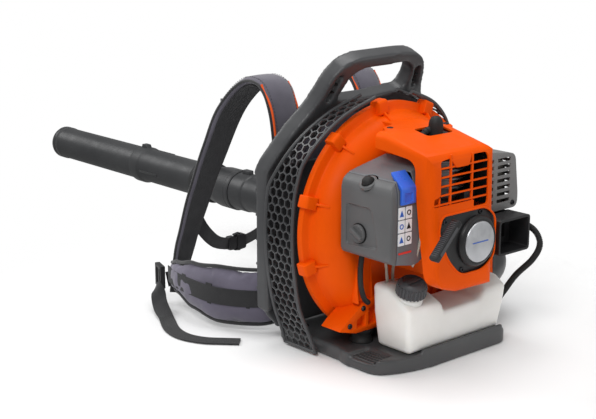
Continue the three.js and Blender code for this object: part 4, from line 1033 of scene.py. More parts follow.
def engine_cover():
    rear = COVER_REAR
    cover = cover_block(0)
    carve(cover, cover_block(3))
    carve(cover, box((-64, rear + 12, 100), (42, 60, 143)))
    carve(cover, box((-200, 15, 0), (200, 120, 500)))
    carve(cover, fan_space(0.6))
    carve(cover, box((-72, rear + 30, 90), (-34, 60, 156)))
    carve(cover, box((-70, -108, 222), (-50, -52, 296)))
    # opening of the cooling grille, stepped at its foot, with a tab left hanging from the top
    field = [
        (-92, 278, 3), (-92, 291, 3), (-80, 295, 4), (-80, 348, 7), (-56, 350, 2), (-46, 335, 2),
        (-18, 335, 2), (-8, 350, 2), (29, 350, 7), (29, 267, 7), (-4, 267, 3), (-4, 278, 1),
    ]
    carve(cover, prism(rounded(field, 0, 4), "Y", rear - 5, rear + 12))
    opening = [
        (-82, 236, 10), (-76, 263, 12), (26, 263, 14), (49.4, 244, 12), (49.4, 178, 14), (22, 160, 14),
        (-30, 160, 16), (-60, 190, 16),
    ]
    carve(cover, prism(rounded(opening, 10, 5), "Y", rear - 5, rear + 12))
    plug_hole = rectangle(-40, -93, 21, -60, 9, 5)
    carve(cover, prism(plug_hole, "Z", 345, 400))
    clean(cover, math.radians(0.5))
    soften(cover, 1.2, 3, 42, 40)
    finish_piece(cover, ORANGE, "engine_cover")
    # slim slats and uprights of the grille, set back from the face
    slats = Form()
    for row in range(1, 6):
        low = 265.4 + row * 14
        slats.box((-93 if row == 1 else -82, rear + 1.8, low), (31, rear + 5, low + 2.6))
    for left, top in ((-57, 356), (-8, 352)):
        slats.box((left, rear + 2.2, 264), (left + 3.6, rear + 5.6, top))
    slats.box((-81, rear + 2.2, 276), (-78, rear + 5.6, 292))
    make("grille_slats", slats, ORANGE, bevel=0.5)
    # dark plate of painted shade inside the right wall, behind the grille
    shade_plate = box((43, rear + 12, 262), (44, -84, 346))
    make("grille_painted_shade", shade_plate, SHADE_AND_INK)
    # raised lip round the starter opening
    lip = [Vector((u, rear + 0.4, v)) for u, v in rounded(opening, 10, 8)]
    lip.append(lip[0])
    make("starter_lip", tube(lip, 1.8, 10), ORANGE, smooth=60)
    # bosses of the two screws that hold the cover to the housing
    for index, (x, y, z) in enumerate(((-62, -32, 377), (46, -52, 374))):
        boss = lathe([(0, -16), (11, -16), (11, 0), (8, 2.4), (0, 2.4)], (x, y, z), "Z", 40, closed=False)
        make(f"cover_boss_{index}", boss, ORANGE, smooth=40)
        screw(f"cover_screw_{index}", (x, y, z + 2.4), (0, 0, 1), 5.4, 2.4)
    # dark plate of painted shade down in the spark plug hole
    well_shade = prism(rectangle(-39, -92, 20, -61, 8), "Z", 360, 362)
    make("plug_well_painted_shade", well_shade, SHADE_AND_INK)


PLUG_Y = -78


def plug_boot():
    # top of the spark plug's hexagon
    low = 354.4
    cap = lathe(
        [(0, low), (12, low), (12, low + 17), (0, low + 21)], (FAN_X, PLUG_Y, 0), "Z", 40, closed=False,
    )
    make("plug_cap", cap, RUBBER, "plug_boot", smooth=50)
    bulb = [
        (0, low + 45), (4, low + 44.6), (7.6, low + 42.6), (10, low + 39), (11.4, low + 34), (12, low + 26),
        (11.4, low + 20), (12, low + 12), (12, low + 2), (0, low + 2),
    ]
    dome = lathe(bulb, (FAN_X - 12, PLUG_Y, 0), "Z", 40, closed=False)
    make("plug_dome", dome, RUBBER, smooth=50)
    route = [(FAN_X - 14, -76, low + 25), (FAN_X - 27, -72, low + 21), (FAN_X - 36, -69, low + 12)]
    lead = spline(route, 18)
    make("plug_lead", tube(lead, 5.6, 18), RUBBER, smooth=50)
    for index in range(4):
        at = lead[5 + index * 3]
        turn = (lead[6 + index * 3] - at).normalized()
        ring = lathe([(5.2, -0.8), (6.5, -0.5), (6.5, 0.5), (5.2, 0.8)], at, turn, 24)
        make(f"plug_lead_ring_{index}", ring, RUBBER)


def starter():
    refine("starter_housing", BLACK, 1.4, 2, 45)
    front = COVER_REAR - 6
    ring = [
        (33.4, front + 6), (33.4, front - 0.2), (36, front - 0.6), (39, front + 0.6), (41.4, front + 3.6),
        (42, front + 6),
    ]
    make("starter_rim", lathe(ring, FAN_AXIS, "Y", 80), BLACK, smooth=50)
    disc = lathe(
        [
            (0, COVER_REAR - 8.2), (31, COVER_REAR - 8.2), (32.6, COVER_REAR - 7.8),
            (33.2, COVER_REAR - 6.4), (0, COVER_REAR - 6.4),
        ],
        FAN_AXIS, "Y", 80, closed=False,
    )
    make("badge_disc", disc, BADGE, "starter_badge", smooth=30)
    bar = box((FAN_X - 18, -168.7, FAN_Z - 0.8), (FAN_X + 18, -168.0, FAN_Z + 0.8))
    make("badge_bar", bar, LABEL_BLUE)
    # slim pull grip with fine ribs across both edges; the ribs are black plastic, coloured grey as a
    # painted highlight
    turn = placed((-96, 0, FAN_Z + 24), -46, "Y")
    shape = rounded([(-36, -5.5), (36, -5.5), (37, 0), (36, 5.5), (-36, 5.5), (-37, 0)], 3, 4)
    grip = prism(shape, "Y", -194, -179).moved(turn)
    make("pull_grip", grip, BLACK, "starter_handle", bevel=2.4, segments=4, smooth=50)
    for index in range(20):
        u = -31 + index * 3.2
        rib = prism(rectangle(u, -6.3, u + 1.6, 6.3, 0.5), "Y", -192, -181)
        make(
            f"grip_rib_{index}", rib.moved(turn), GREY, body="starter_handle", slot="black_plastic",
            bevel=0.4,
        )
    back_panel = rectangle(-26, -2.6, 26, 2.6, 2, 3)
    make(
        "grip_inlay", prism(back_panel, "Y", -194.8, -190).moved(turn), GREY, body="starter_handle",
        slot="black_plastic",
    )
    rope = spline([(-51, -147, 227), (-55, -160, 229), (-72, -169, 232), (-90, -171.5, 234)], 16)
    make("pull_rope", tube(rope, 2.2, 12), WEBBING, "starter_rope", smooth=50)
    # fins round the drum and the fixing screws of the starter
    for index in range(12):
        fin = box((37, -158, -1), (41.4, -150, 1)).moved(placed(FAN_AXIS, 30 * index, "Y"))
        make(f"starter_fin_{index}", fin, BLACK, bevel=0.4)
    for index, (x, z) in enumerate(((-66, 252), (16, 256), (-24, 168))):
        screw(f"starter_screw_{index}", (x, -156.8, z), (0, -1, 0), 4.4, 2.0)


KNOB_AT = (-148.9, -54, 228)
PRIMER_AT = (-146, -70, 312)


def filter_box():
    refine("filter_base", LIGHT_GREY, 0, melted=(1.5, 3))
    refine("filter_cover", COVER_GREY, 0, melted=(1.5, 4))
    refine("choke_lever", BLUE, 1.6, 3, 45)
    refine("filter_element", PAPER, 0.6, 1)
    # quarter turn knob: a dished disc with a bar across it, ringed by a dark disc of painted shade
    shade_disc = lathe(
        [(0, 0.2), (16.4, 0.2), (16.4, -0.6), (0, -0.6)], (-148.3, -54, 228), "X", 48, closed=False,
    )
    make("knob_painted_shade", shade_disc, SHADE_AND_INK, body="filter_cover", slot="grey_plastic")
    dish = [(0, -4.4), (10, -3.6), (13.4, -4.8), (14.6, -3.4), (14.6, -0.8), (0, -0.8)]
    disc = lathe(dish, KNOB_AT, "X", 48, closed=False)
    make("knob_disc", disc, COVER_GREY, "cover_knob", smooth=44)
    tilt = placed(KNOB_AT, 28, "X")
    bar = prism(
        rounded([(-14, -2.6), (12.6, -3.4), (12.6, 3.4), (-14, 2.6)], 2, 4), "X", -9.4, -1,
    ).moved(tilt)
    make("knob_bar", bar, COVER_GREY, body="cover_knob", bevel=0.9, segments=3)
    # primer bulb: a clear dome on its collar
    axis = Vector((-0.55, 0, 0.835)).normalized()
    dome = lathe(
        [(0, -4.6), (9, -4.6), (10, -2), (10, 0), (9.4, 3.4), (7.6, 6.6), (4.4, 9.0), (0, 9.9)], PRIMER_AT,
        axis, 40, closed=False,
    )
    make("primer_dome", dome, RUBBER, "primer_bulb", smooth=60)
    collar = lathe([(10.8, -4), (14.6, -4), (14.6, 0.4), (12.4, 1.8), (10.8, 1.2)], PRIMER_AT, axis, 40)
    make("primer_collar", collar, COVER_GREY, body="filter_cover", smooth=50)
    # picture labels without words on the rear wall
    y = -127.5
    for row in range(3):
        for column in range(2):
            left = -137 + column * 15.4
            bottom = 261 - row * 20.6
            tile = prism(rectangle(left, bottom, left + 13.8, bottom + 19, 1.4), "Y", y, y + 1.2)
            make(f"label_{row}_{column}", tile, WHITE)
            ink = SHADE_AND_INK if column else LABEL_BLUE
            middle_x = left + 6.9
            middle_z = bottom + 9.5
            if (row + column) % 2:
                ring = [(2.6, -0.3), (4.2, -0.3), (4.2, 0.3), (2.6, 0.3)]
                mark = lathe(ring, (middle_x, y - 0.1, middle_z), "Y", 28)
            else:
                peak = [
                    (middle_x - 4.4, middle_z - 5), (middle_x + 4.4, middle_z - 5),
                    (middle_x, middle_z + 5),
                ]
                mark = prism(peak, "Y", y - 0.4, y + 0.2)
            make(f"label_mark_{row}_{column}", mark, ink, slot="light_grey_plastic")
    dash = prism(rectangle(-136, 206, -108, 209, 1.2), "Y", y - 0.3, y + 1)
    make("label_dash", dash, RED)
    # clear breather line along the rear right edge, and the black hose under the box
    line = spline(
        [(-96, -128.6, 300), (-92, -129.4, 262), (-90, -129, 226), (-92, -124, 196), (-88, -112, 176)], 30,
    )
    make("breather_line", tube(line, 2.2, 12), CLEAR, smooth=60)
    hose = spline(
        [(-116, -30, 196), (-119, -28, 160), (-117, -27, 130), (-108, -26, 106), (-96, -23, 96)], 30,
    )
    make("vent_hose", tube(hose, 4.4, 16), RUBBER, smooth=60)


def exhaust():
    refine("muffler", MUFFLER, 4, 3)
    refine("muffler_guard", GUARD_GREY, 1.4, 2, 45)
    refine("exhaust_duct", BLACK, 1.6, 2, 45)
    for index, (x, z) in enumerate(((66, 326), (156, 238))):
        screw(f"guard_screw_{index}", (x, -106, z), (0, -1, 0), 4.6, 2.0)


def hidden_engine():
    for node in ("crankcase", "cylinder", "flywheel", "piston", "carburettor"):
        refine(node, ALUMINIUM, 0.7, 1)
    for node in ("crankshaft", "connecting_rod", "spark_plug"):
        refine(node, STEEL, 0.5, 1)
    refine("ignition_coil", BLACK, 1, 2)
    refine("starter_pulley", BLACK, 0.6, 1)
    refine("fan_impeller", BLACK, 0.5, 1)


def fuel_tank():
    tank = [
        (-86, 24.8), (-93, 84), (-93, 131), (-44, 131), (-20, 114), (-8, 84), (76, 86), (97, 113),
        (144, 114), (140, 70), (132, 24.8),
    ]
    across = [(-34, 24.8), (-28, 132), (-60, 132), (-113, 99), (-106, 24.8)]
    shell = mesh_object("tank_shell", prism(tank, "Y", -160, 10))
    carve(shell, prism(across, "X", -150, 180), "INTERSECT")
    clean(shell, math.radians(1.0))
    soften(shell, 8.5, 6, 25, 60)
    finish_piece(shell, TANK, "fuel_tank")
    at = Vector((-67, -88, 114.5))
    axis = Vector((-0.1, -0.28, 0.955)).normalized()
    place = Matrix.Translation(at) @ direction(axis).to_4x4()
    # the cap's skirt has 24 flat lobes
    rings = []
    for height, radius, lobe in ((7.6, 23, 0.8), (9.5, 24, 1.1), (22, 24, 1.1), (25.5, 23, 1.0)):
        ring = []
        for angle in turns(144):
            reach = radius + lobe * math.tanh(3 * math.cos(24 * angle))
            ring.append(place @ Vector((reach * math.cos(angle), reach * math.sin(angle), height)))
        rings.append(ring)
    make("cap_body", loft(rings), GREY, "fuel_cap", smooth=40)
    top = lathe(
        [(0, 24), (22.6, 24), (22, 28), (19, 31.4), (17, 32.4), (15, 30.2), (0, 30.2)], at, axis, 64,
        closed=False,
    )
    make("cap_top", top, GREY, body="fuel_cap", smooth=40)
    lever = prism(rounded([(-17, -4), (15, -5), (18, 0), (15, 5), (-17, 4)], 3), "Z", 29, 33.4).moved(place)
    make("cap_lever", lever, GREY, body="fuel_cap", bevel=1.2, segments=3)
    neck = lathe([(16, -6), (21, -6), (21, 3.8), (19.6, 5), (19.6, 6.6), (16, 6.6)], at, axis, 48)
    make("tank_neck", neck, TANK, smooth=40)
    for name, route in (
        ("supply", [(-74, -44, 132), (-80, -48, 148), (-90, -56, 166), (-98, -61, 178)]),
        ("return", [(-62, -44, 132), (-66, -48, 150), (-72, -56, 168), (-78, -62, 184)]),
    ):
        form = tube(spline(route, 24), 2.6, 16)
        make(f"line_{name}", form, CLEAR, f"fuel_line_{name}", smooth=60)


# ------------------------------------------------------------------ control handle
def grip_point(h):
    return Vector((TUBE_X, 838 - h * math.sin(GRIP_LEAN), 141 + h * math.cos(GRIP_LEAN)))


def control_handle():
    stations = [
        (-10, 20, 29), (8, 18, 24), (30, 15, 17), (60, 15.4, 17), (90, 16, 18), (125, 18, 22),
        (150, 20, 26), (166, 17, 20), (171, 12, 14), (173, 6, 7),
    ]
    heights = spline([(h, half, depth) for h, half, depth in stations], 44)
    rings = []
    for h, half, depth in heights:
        centre = grip_point(h)
        # finger ripples fade in and out along the middle of the grip
        ripple = 0.7 * math.sin((h - 28) / 84 * math.pi) * math.cos(h * 0.42) if 28 < h < 112 else 0
        ring = []
        for a in turns(36):
            rise = math.sin(a)
            reach = Vector(
                (half * squarish(math.cos(a), 0.85), (depth + ripple) * rise, depth * rise * 0.2)
            )
            ring.append(centre + reach)
        rings.append(ring)
    stem = loft(rings)
    trigger_at = grip_point(118)
    head = grip_point(150)
    bore = prism(ring_outline(TUBE_R + 0.6, 48, TUBE_X, TUBE_Z), "Y", 700, 960)
    pocket = box(
        (TUBE_X - 6.5, trigger_at.y + 4, trigger_at.z - 30),
        (TUBE_X + 6.5, trigger_at.y + 40, trigger_at.z + 24),
    )
    side = box((TUBE_X - 30, head.y - 14, head.z - 12), (TUBE_X - 12, head.y + 12, head.z + 34))
    slot = box((TUBE_X - 5, head.y - 26, head.z + 12), (TUBE_X + 5, head.y + 8, head.z + 40))
    cuts = [bore, pocket, side, slot]
    make("control_grip", stem, BLACK, "control_handle", smooth=44, cuts=cuts)
    clamp = [
        (39.4, 814), (44, 814), (45, 815.5), (45, 824), (43.6, 826), (43.6, 850), (45, 852), (45, 860.5),
        (44, 862), (39.4, 862),
    ]
    make("handle_clamp", lathe(clamp, TUBE_AXIS, "Y", 80), BLACK, body="mid_tube", smooth=34)
    refine("throttle_trigger", GREY, 1.6, 3, 50)
    refine("cruise_lever", GREY, 1.2, 2, 50)
    refine("stop_switch", GREY, 0.8, 2, 50)


# ------------------------------------------------------------------ conduits
def conduit_form(points):
    """Corrugated sleeve: rounded rings, one after another, along a smooth route."""
    pitch = 2.6
    length = sum((b - a).length for a, b in zip(points, points[1:]))
    path = spline(points, int(length / pitch) * 4)
    rings = []
    for index, frame in enumerate(frames(path, (0.2, 0.1, 1))):
        rings.append(round_ring(*frame, 5.5 if index % 4 in (1, 2) else 4.5, 14))
    return loft(rings)


# the conduit runs this far right of the tube's axis and as far below it
CONDUIT_OUT = 37
CONDUIT_ROUTE = [
    (60, -80, 158), (110, -78, 152), (152, -84, 172), (171, -112, 198), (174, -140, 194), (175, -153, 172),
    (174, -140, 143), (171, -108, 108), (173, -80, 70), (186, -50, 40), (220, -4, 36), (262, 56, 44),
    (TUBE_X + CONDUIT_OUT, ELBOW_END, TUBE_Z - CONDUIT_OUT),
]
TUBE_ROUTE = [
    (TUBE_X + CONDUIT_OUT, CONNECTOR_START + 2, TUBE_Z - CONDUIT_OUT),
    (TUBE_X + CONDUIT_OUT, CONNECTOR_START + 120, TUBE_Z - CONDUIT_OUT),
    (TUBE_X + CONDUIT_OUT, CONNECTOR_START + 240, TUBE_Z - CONDUIT_OUT + 2),
    (TUBE_X + 48, CONNECTOR_END - 60, TUBE_Z - 18), (TUBE_X + 51, CONNECTOR_END - 4, TUBE_Z + 6),
]


def conduits():
    make("engine_conduit", conduit_form(spline(CONDUIT_ROUTE, 120)), RUBBER, "throttle_conduit", smooth=60)
    make("upper_conduit", conduit_form(spline(TUBE_ROUTE, 60)), RUBBER, "tube_conduit", smooth=60)
    x, z = TUBE_X + CONDUIT_OUT, TUBE_Z - CONDUIT_OUT
    for name, low, high, first, second, hinge_low, hinge_high in (
        ("rear", ELBOW_END - 1, 210, "backpack", "hose_ring", 105, 189),
        ("front", 210, CONNECTOR_START + 3, "hose_ring", "control_tube", 231, 315),
    ):
        form = conduit_form([Vector((x, low + (high - low) * k / 12, z)) for k in range(13)])
        bending(f"hose_conduit_{name}", form, first, second, hinge_low, hinge_high)
    for index, (y, body) in enumerate(
        ((210, "hose_ring"), (340, "control_tube"), (520, "control_tube"), (640, "control_tube"))
    ):
        reach = HOSE_R if y < 400 else TUBE_R + 1.5
        spot = Vector((x, y, z) if y < 600 else (TUBE_X + 46, y, TUBE_Z - 22))
        hub = Vector((TUBE_X, y, TUBE_Z))
        outward = (spot - hub).normalized()
        clip = tube([spot + Vector((0, -5, 0)), spot + Vector((0, 5, 0))], 7.4, 20)
        make(f"conduit_clip_{index}", clip, BLACK, body=body, bevel=1)
        foot = tube([hub + outward * (reach - 2), spot], 4, 12)
        make(f"conduit_clip_foot_{index}", foot, BLACK, body=body)


# ------------------------------------------------------------------ harness
WEB_THICK = 1.8


def webbing_stations(points, width):
    return [(x, y, z, width, WEB_THICK) for x, y, z, *_ in points]


def band(stations, steps, across, across_end=None, turn_over=1.0):
    """Place, side, normal, width and thickness at even steps along a band through its stations.

    A station is (x, y, z, width, thickness), and the widths follow its share of the path's length.
    """
    across = Vector(across)
    across_end = Vector(across_end) if across_end else across
    path = spline([s[:3] for s in stations], steps)
    marks = [0.0]
    for a, b in zip(stations, stations[1:]):
        marks.append(marks[-1] + (Vector(b[:3]) - Vector(a[:3])).length)
    result = []
    for i, point in enumerate(path):
        t = i / steps
        where = t * marks[-1]
        k = min(max(j for j in range(len(marks)) if marks[j] <= where + 0.001), len(marks) - 2)
        part = min(1.0, (where - marks[k]) / (marks[k + 1] - marks[k]))
        part = part * part * (3 - 2 * part)
        width = stations[k][3] * (1 - part) + stations[k + 1][3] * part
        thick = stations[k][4] * (1 - part) + stations[k + 1][4] * part
        along = (path[min(i + 1, steps)] - path[max(i - 1, 0)]).normalized()
        wide = across.lerp(across_end, min(1.0, t / turn_over))
        normal = along.cross(wide).normalized()
        result.append((point, normal.cross(along).normalized(), normal, width, thick))
    return result


def sweep(stations, steps, across, section, across_end=None, turn_over=1.0):
    """Rings of a cross-section carried along a band.

    section(width, thickness, run) gives points (a, b, u): a across the band, b out of its upper face and
    u the place round the section, which becomes the U coordinate. run is the length so far.
    """
    rings = []
    uvs = []
    run = 0.0
    previous = None
    for point, side, normal, width, thick in band(stations, steps, across, across_end, turn_over):
        if previous is not None:
            run += (point - previous).length
        previous = point
        ring = section(width, thick, run)
        rings.append([point + side * a + normal * b for a, b, _ in ring])
        uvs.extend((u * MM, run * MM) for _, _, u in ring)
    return loft(rings, uvs=uvs)


def squarish(value, power):
    return math.copysign(abs(value) ** power, value)


def padded_section(crown, count, gather=0.0):
    """Soft flattened oval; gather is the height of the folds in its cloth."""

    def section(width, thick, run):
        result = []
        half, height = width / 2, thick / 2
        for angle in turns(count):
            a = half * squarish(math.cos(angle), 0.42)
            b = height * squarish(math.sin(angle), 0.62) * (1 - crown * abs(a / half) ** 3)
            fold = math.sin(run * 0.31 + a * 0.12) + 0.7 * math.sin(run * 0.17 - a * 0.06 + 1.3)
            b += gather * fold * (1 - abs(a / half) ** 2)
            result.append((a, b, a + (half * 2 if b < 0 else 0)))
        return result

    return section


def flat_section(width, thick, run):
    """Webbing: flat underneath and slightly crowned on top."""
    half, height = width / 2, thick / 2
    crown = [height * (1 + 0.05 * math.cos(math.pi * (k / 4 - 1))) for k in range(9)]
    top = [(-half + width * k / 8, b, -half + width * k / 8) for k, b in enumerate(crown)]
    return top + [(a, -b, a) for a, b, _ in top[::-1]]


def edge_path(stations, steps, across, share, lift=0.0):
    """Points along one edge of a band, for piping and binding."""
    return [
        point + side * width / 2 * share + normal * lift
        for point, side, normal, width, _ in band(stations, steps, across)
    ]


def strap_stations(side):
    reach = 1 if side < 0 else 0.82
    rows = [
        (100, 172, 318, 62, 14, 1), (102, 180, 384, 64, 16, 1), (102, 206, 427, 66, 16, 1),
        (104, 254, 427, 66, 16, 1), (110, 310, 376, 66, 16, 1), (116, 350, 300, 62, 15, 1),
        (126, 386, 210, 56, 13, reach), (144, 406, 120, 46, 10, reach), (160, 410, 58, 36, 7, reach),
        (168, 408, 24, 30, 5, reach),
    ]
    return [(side * x * scale, y, z, w, t) for x, y, z, w, t, scale in rows]


def stitches(name, points):
    """Short thread runs standing slightly proud along a seam."""
    length = sum((b - a).length for a, b in zip(points, points[1:]))
    path = spline(points, max(8, int(length / 2.8)))
    form = Form()
    for k in range(0, len(path) - 1, 2):
        form.tube([path[k], path[k + 1]], 0.5, 6)
    make(name, form, BINDING, smooth=60)


def shoulder_strap(side):
    name = HAND[side]
    stations = strap_stations(side)
    pad_stations = [(x, y, z, w - 4, t) for x, y, z, w, t in stations[:9]]
    pad = sweep(pad_stations, 150, (1, 0, 0), padded_section(0.35, 40, 0.2))
    piece = make(f"strap_pad_{name}", pad, SATIN, f"shoulder_strap_{name}", smooth=70)
    # body side lining, a little proud of the pad's underside
    lining = [(x, y, z, w - 12, 2.4) for x, y, z, w, t in stations[:9]]
    below = [t / 2 + 0.5 for x, y, z, w, t in stations[:9]]
    inner = sweep(offset(lining, (1, 0, 0), below), 120, (1, 0, 0), padded_section(0.2, 24))
    lining_piece = make(f"strap_lining_{name}", inner, MESH_CLOTH, smooth=70)
    for label, share in (("inner", -1.0), ("outer", 1.0)):
        edge = edge_path(pad_stations, 110, (1, 0, 0), share)
        trim = tube(edge, 2.5, 12)
        make(f"strap_trim_{name}_{label}", trim, BINDING, smooth=60)
        accent = edge_path(pad_stations[:3], 40, (1, 0, 0), share * 0.94, -4.6)
        make(f"strap_accent_{name}_{label}", tube(accent, 2, 10), ORANGE_TRIM, smooth=60)
    for label, share in (("a", -0.82), ("b", 0.82)):
        seam = edge_path(pad_stations, 110, (1, 0, 0), share, -6.6)
        stitches(f"strap_seam_{name}_{label}", seam)
    # webbing sewn along the middle of the outer face, running on below the pad to the belt
    web = webbing_stations(stations[3:], 29)
    lifted = offset(web, (1, 0, 0), [-9.4, -9.4, -9, -8, -5.6, -1.6, 0])
    webbing = sweep(lifted, 170, (1, 0, 0), flat_section)
    make(f"strap_web_{name}", webbing, WEBBING, smooth=60)
    slider(f"strap_slider_{name}", stations[8])
    for index, station in enumerate((1, 3)):
        a, b = Vector(lifted[station][:3]), Vector(lifted[station + 1][:3])
        loop = [(*a.lerp(b, t), 33, 3.4) for t in (0.36, 0.44, 0.52, 0.6)]
        loop_form = sweep(loop, 10, (1, 0, 0), flat_section)
        make(f"strap_loop_{name}_{index}", loop_form, WEBBING, smooth=60)


def offset(stations, across, lifts):
    """Stations moved along the band's own normal, each by its own lift."""
    across = Vector(across)
    result = []
    for i, (x, y, z, w, t) in enumerate(stations):
        ahead = Vector(stations[min(i + 1, len(stations) - 1)][:3])
        behind = Vector(stations[max(i - 1, 0)][:3])
        normal = (ahead - behind).normalized().cross(across).normalized()
        moved = Vector((x, y, z)) + normal * lifts[i]
        result.append((*moved, w, t))
    return result


def slider(name, station):
    """Three-bar adjuster on the webbing where the pad ends."""
    x, y, z, _, _ = station
    centre = placed((x, y + 6, z - 8), -20, "X")
    form = Form()
    for low, high in (
        ((-20, -3, -13), (20, 3, -9)), ((-20, -3, 9), (20, 3, 13)), ((-20, -2.4, -2), (20, 2.4, 2)),
    ):
        form.box(low, high)
    for left in (-20, 16):
        form.box((left, -3, -13), (left + 4, 3, 13))
    form.moved(centre)
    make(name, form, BLACK, bevel=1.0)


def hip_belt(side):
    name = HAND[side]
    flare = 1 if side < 0 else 0.84
    stations = [
        (side * 92, 166, 64, 92, 16), (side * 146 * flare, 196, 62, 106, 20),
        (side * 184 * flare, 254, 62, 108, 20), (side * 196 * flare, 316, 66, 90, 18),
        (side * 192 * flare, 368, 68, 64, 15), (side * 184 * flare, 396, 68, 46, 12),
    ]
    slim = [(x, y, z, w - 5, t * 0.62) for x, y, z, w, t in stations]
    form = sweep(slim, 110, (0, 0, 1), padded_section(0.3, 44, 1.0))
    piece = mesh_object(f"belt_pad_{name}", form)
    inflate(piece)
    shade_smooth(piece)
    finish_piece(piece, BELT_CLOTH, f"hip_belt_{name}")
    for label, share in (("low", -0.97), ("high", 0.97)):
        edge = edge_path(slim, 90, (0, 0, 1), share)
        binding = tube(edge, 3.4, 12)
        make(f"belt_binding_{name}_{label}", binding, BINDING, smooth=60)
    # webbing round the outside of the belt, threaded through loops
    reach = webbing_stations(stations, 30)
    lifted = offset(reach, (0, 0, 1), [side * lift for lift in (9, 11.2, 11.4, 10.6, 9.4, 8)])
    webbing = sweep(lifted, 110, (0, 0, 1), flat_section)
    make(f"belt_web_{name}", webbing, WEBBING, smooth=60)
    for index in range(3):
        a, b = Vector(lifted[index + 1][:3]), Vector(lifted[index + 2][:3])
        loop = [(*a.lerp(b, t), 37, 3.6) for t in (0.2, 0.3, 0.4)]
        make(f"belt_loop_{name}_{index}", sweep(loop, 8, (0, 0, 1), flat_section), WEBBING, smooth=60)


def inflate(piece):
    """Puff a closed piece up with cloth pressure, keeping every point near where it was."""
    cap = 6.5 * MM
    remesh(piece, 4.6)
    apply_modifiers(piece)
    rest = [v.co.copy() for v in piece.data.vertices]
    sim = piece.modifiers.new("cloth", "CLOTH")
    sim.settings.use_pressure = True
    sim.settings.uniform_pressure_force = 4.0
    sim.settings.quality = 5
    sim.settings.mass = 0.2
    sim.settings.tension_stiffness = 22
    sim.settings.compression_stiffness = 22
    sim.settings.bending_stiffness = 0.4
    sim.settings.effector_weights.gravity = 0
    sim.collision_settings.use_self_collision = False
    scene = bpy.context.scene
    for number in range(1, 15):
        scene.frame_set(number)
    apply_modifiers(piece)
    scene.frame_set(1)
    for vertex, home in zip(piece.data.vertices, rest):
        shift = vertex.co - home
        if shift.length > cap:
            vertex.co = home + shift.normalized() * cap
    smooth = piece.modifiers.new("fine", "SUBSURF")
    smooth.levels = 1
    smooth.render_levels = 1
    apply_modifiers(piece)


def back_pad():
    outline = rounded([(-110, 122), (110, 122), (94, 384), (-94, 384)], 28, 8)
    grid = mesh_object("back_pad_soft", quilt(outline))
    soften(grid, 0, smooth=70)
    finish_piece(grid, BELT_CLOTH, "back_pad")
    edge = [Vector((u, 155.6, v)) for u, v in outline]
    edge.append(edge[0])
    make("back_pad_piping", tube(edge, 3, 12), BINDING, smooth=60)


def quilt(outline):
    """Closed crowned pad with sewn channels, standing on the back panel."""
    middle = 253
    rings = []
    shares = [1.0, 0.985, 0.95, 0.9, 0.82, 0.72, 0.6, 0.46, 0.3, 0.14, 0.02]
    for share in (0.02, 0.5, 1.0):
        rings.append([Vector((u * share, 152.8, middle + (v - middle) * share)) for u, v in outline])
    for share in shares:
        ring = []
        for u, v in outline:
            x = u * share
            z = middle + (v - middle) * share
            height = 9.5 * (1 - share**6)
            for channel in (186, 248, 310):
                height *= 1 - 0.55 * math.exp(-(((z - channel) / 5.5) ** 2))
            height *= 1 - 0.4 * math.exp(-((x / 5.0) ** 2))
            ring.append(Vector((x, 154.6 + height, z)))
        rings.append(ring)
    return loft(rings)


def chest_strap():
    half = [(122, 412, 168), (92, 425, 128), (56, 437, 96), (26, 441, 84), (8, 442, 82)]
    route = [(-x, y, z) for x, y, z in half] + half[::-1]
    web = sweep(webbing_stations(route, 25), 140, (0, -0.35, 1), flat_section)
    make("chest_web", web, WEBBING, "chest_strap", smooth=60)
    socket = prism(rounded([(-1, 67), (20, 69), (20, 97), (-1, 99)], 4), "Y", 434.6, 449.4)
    channel = box((-30, 437, 69.5), (30, 447, 96.5))
    make("chest_buckle_socket", socket, BLACK, "chest_buckle", bevel=1.4, segments=3, cuts=[channel])
    plug = prism(rounded([(-21, 70), (-6, 70), (-2, 74), (-2, 92), (-6, 96), (-21, 96)], 3), "Y", 436, 448)
    make("chest_buckle_plug", plug, BLACK, bevel=1.2, segments=3, cuts=[box((-30, 438, 72), (0, 446, 94))])
    for index, side in enumerate((-1, 1)):
        prong = prism(
            rounded(
                [(-6, 83 + side * 13), (8, 83 + side * 15), (8, 83 + side * 18), (-6, 83 + side * 16)], 1,
            ),
            "Y", 438, 446,
        )
        make(f"chest_buckle_prong_{index}", prong, BLACK, bevel=0.8)
    for index, side in enumerate((-1, 1)):
        place = Matrix.Translation((side * 118, 414, 160)) @ Matrix.Rotation(side * 0.6, 4, "Y")
        keeper = box((-5, -4, -16), (5, 4, 16)).moved(place)
        make(f"chest_keeper_{index}", keeper, BLACK, bevel=1.4, segments=3)


def waist_strap():
    refine("hip_buckle", BLACK, 1.2, 3, 45)
    route = [
        (-200, 422, 44), (-214, 396, 16), (-232, 350, 3), (-256, 300, 1.6), (-262, 258, 1.6),
        (-250, 222, 1.6), (-228, 196, 1.6), (-206, 174, 1.6),
    ]
    web = sweep(webbing_stations(route, 28), 150, (0.3, 0.4, 1), flat_section, (1, 0.25, 0), 0.3)
    make("waist_web", web, WEBBING, "waist_strap_tail", smooth=60)


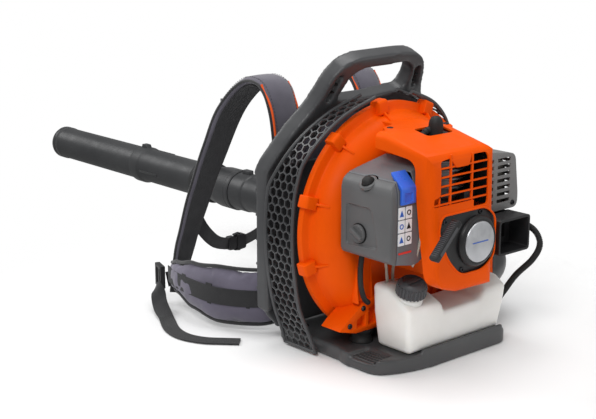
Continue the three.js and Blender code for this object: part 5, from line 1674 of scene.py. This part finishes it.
# ------------------------------------------------------------------ studio
def studio():
    scene = bpy.context.scene
    floor = box((-2000, -2000, -12), (2000, 2000, -1.2))
    ground = mesh_object("floor", floor)
    pale = Shader("floor_paint", 0.8)
    pale.set(Base_Color=(0.93, 0.93, 0.93, 1))
    # the floor fades out to the white surroundings away from the machine
    spread = pale.node("ShaderNodeVectorMath", operation="LENGTH")
    pale.link(pale.coords.outputs["Object"], spread.inputs[0])
    fade = pale.span(spread.outputs["Value"], 0.3, 0.9, interpolation_type="SMOOTHSTEP")
    clear = pale.node("ShaderNodeBsdfTransparent")
    mixed = pale.node("ShaderNodeMixShader")
    pale.link(fade, mixed.inputs[0])
    pale.link(pale.bsdf.outputs[0], mixed.inputs[1])
    pale.link(clear.outputs[0], mixed.inputs[2])
    pale.link(mixed.outputs[0], pale.out.inputs[0])
    ground.data.materials.append(pale.material)
    world = bpy.data.worlds.new("studio")
    world.use_nodes = True
    tree = world.node_tree
    seen = tree.nodes.new("ShaderNodeLightPath")
    level = tree.nodes.new("ShaderNodeMapRange")
    level.inputs["To Min"].default_value = 0.42
    level.inputs["To Max"].default_value = 1.0
    tree.links.new(seen.outputs["Is Camera Ray"], level.inputs["Value"])
    tree.nodes["Background"].inputs["Color"].default_value = (1, 1, 1, 1)
    tree.links.new(level.outputs[0], tree.nodes["Background"].inputs["Strength"])
    scene.world = world
    target = Vector((0.05, 0.1, 0.22))
    for name, place, size, power in (
        ("key", (-2.4, -1.4, 2.6), 1.4, 62), ("fill", (1.8, -2.6, 1.4), 2.4, 16),
        ("rim", (-1.2, 2.6, 2.2), 1.6, 36), ("top", (0.3, 0.5, 3.2), 2.0, 46),
    ):
        light = bpy.data.lights.new(name, "AREA")
        light.size = size
        light.energy = power
        lamp = bpy.data.objects.new(name, light)
        lamp.location = place
        lamp.rotation_euler = (target - Vector(place)).to_track_quat("-Z", "Y").to_euler()
        scene.collection.objects.link(lamp)
    camera = bpy.data.cameras.new("camera")
    camera.sensor_width = 36
    camera.lens = 77.13
    eye = bpy.data.objects.new("camera", camera)
    eye.location = (-1.479, -1.430, 0.750)
    azimuth, elevation = math.radians(41.2), math.radians(14.2)
    look = Vector(
        (
            math.sin(azimuth) * math.cos(elevation), math.cos(azimuth) * math.cos(elevation),
            -math.sin(elevation),
        )
    )
    eye.rotation_euler = look.to_track_quat("-Z", "Y").to_euler()
    scene.collection.objects.link(eye)
    scene.camera = eye
    scene.view_settings.view_transform = "Standard"


studio()
housing()
inner_housing()
screen("screen_left", False)
screen("screen_right", True)
tubes()
base()
back_frame()
rubber_mounts()
engine_cover()
plug_boot()
starter()
filter_box()
exhaust()
hidden_engine()
fuel_tank()
control_handle()
conduits()
for strap_side in HAND:
    shoulder_strap(strap_side)
    hip_belt(strap_side)
back_pad()
chest_strap()
waist_strap()
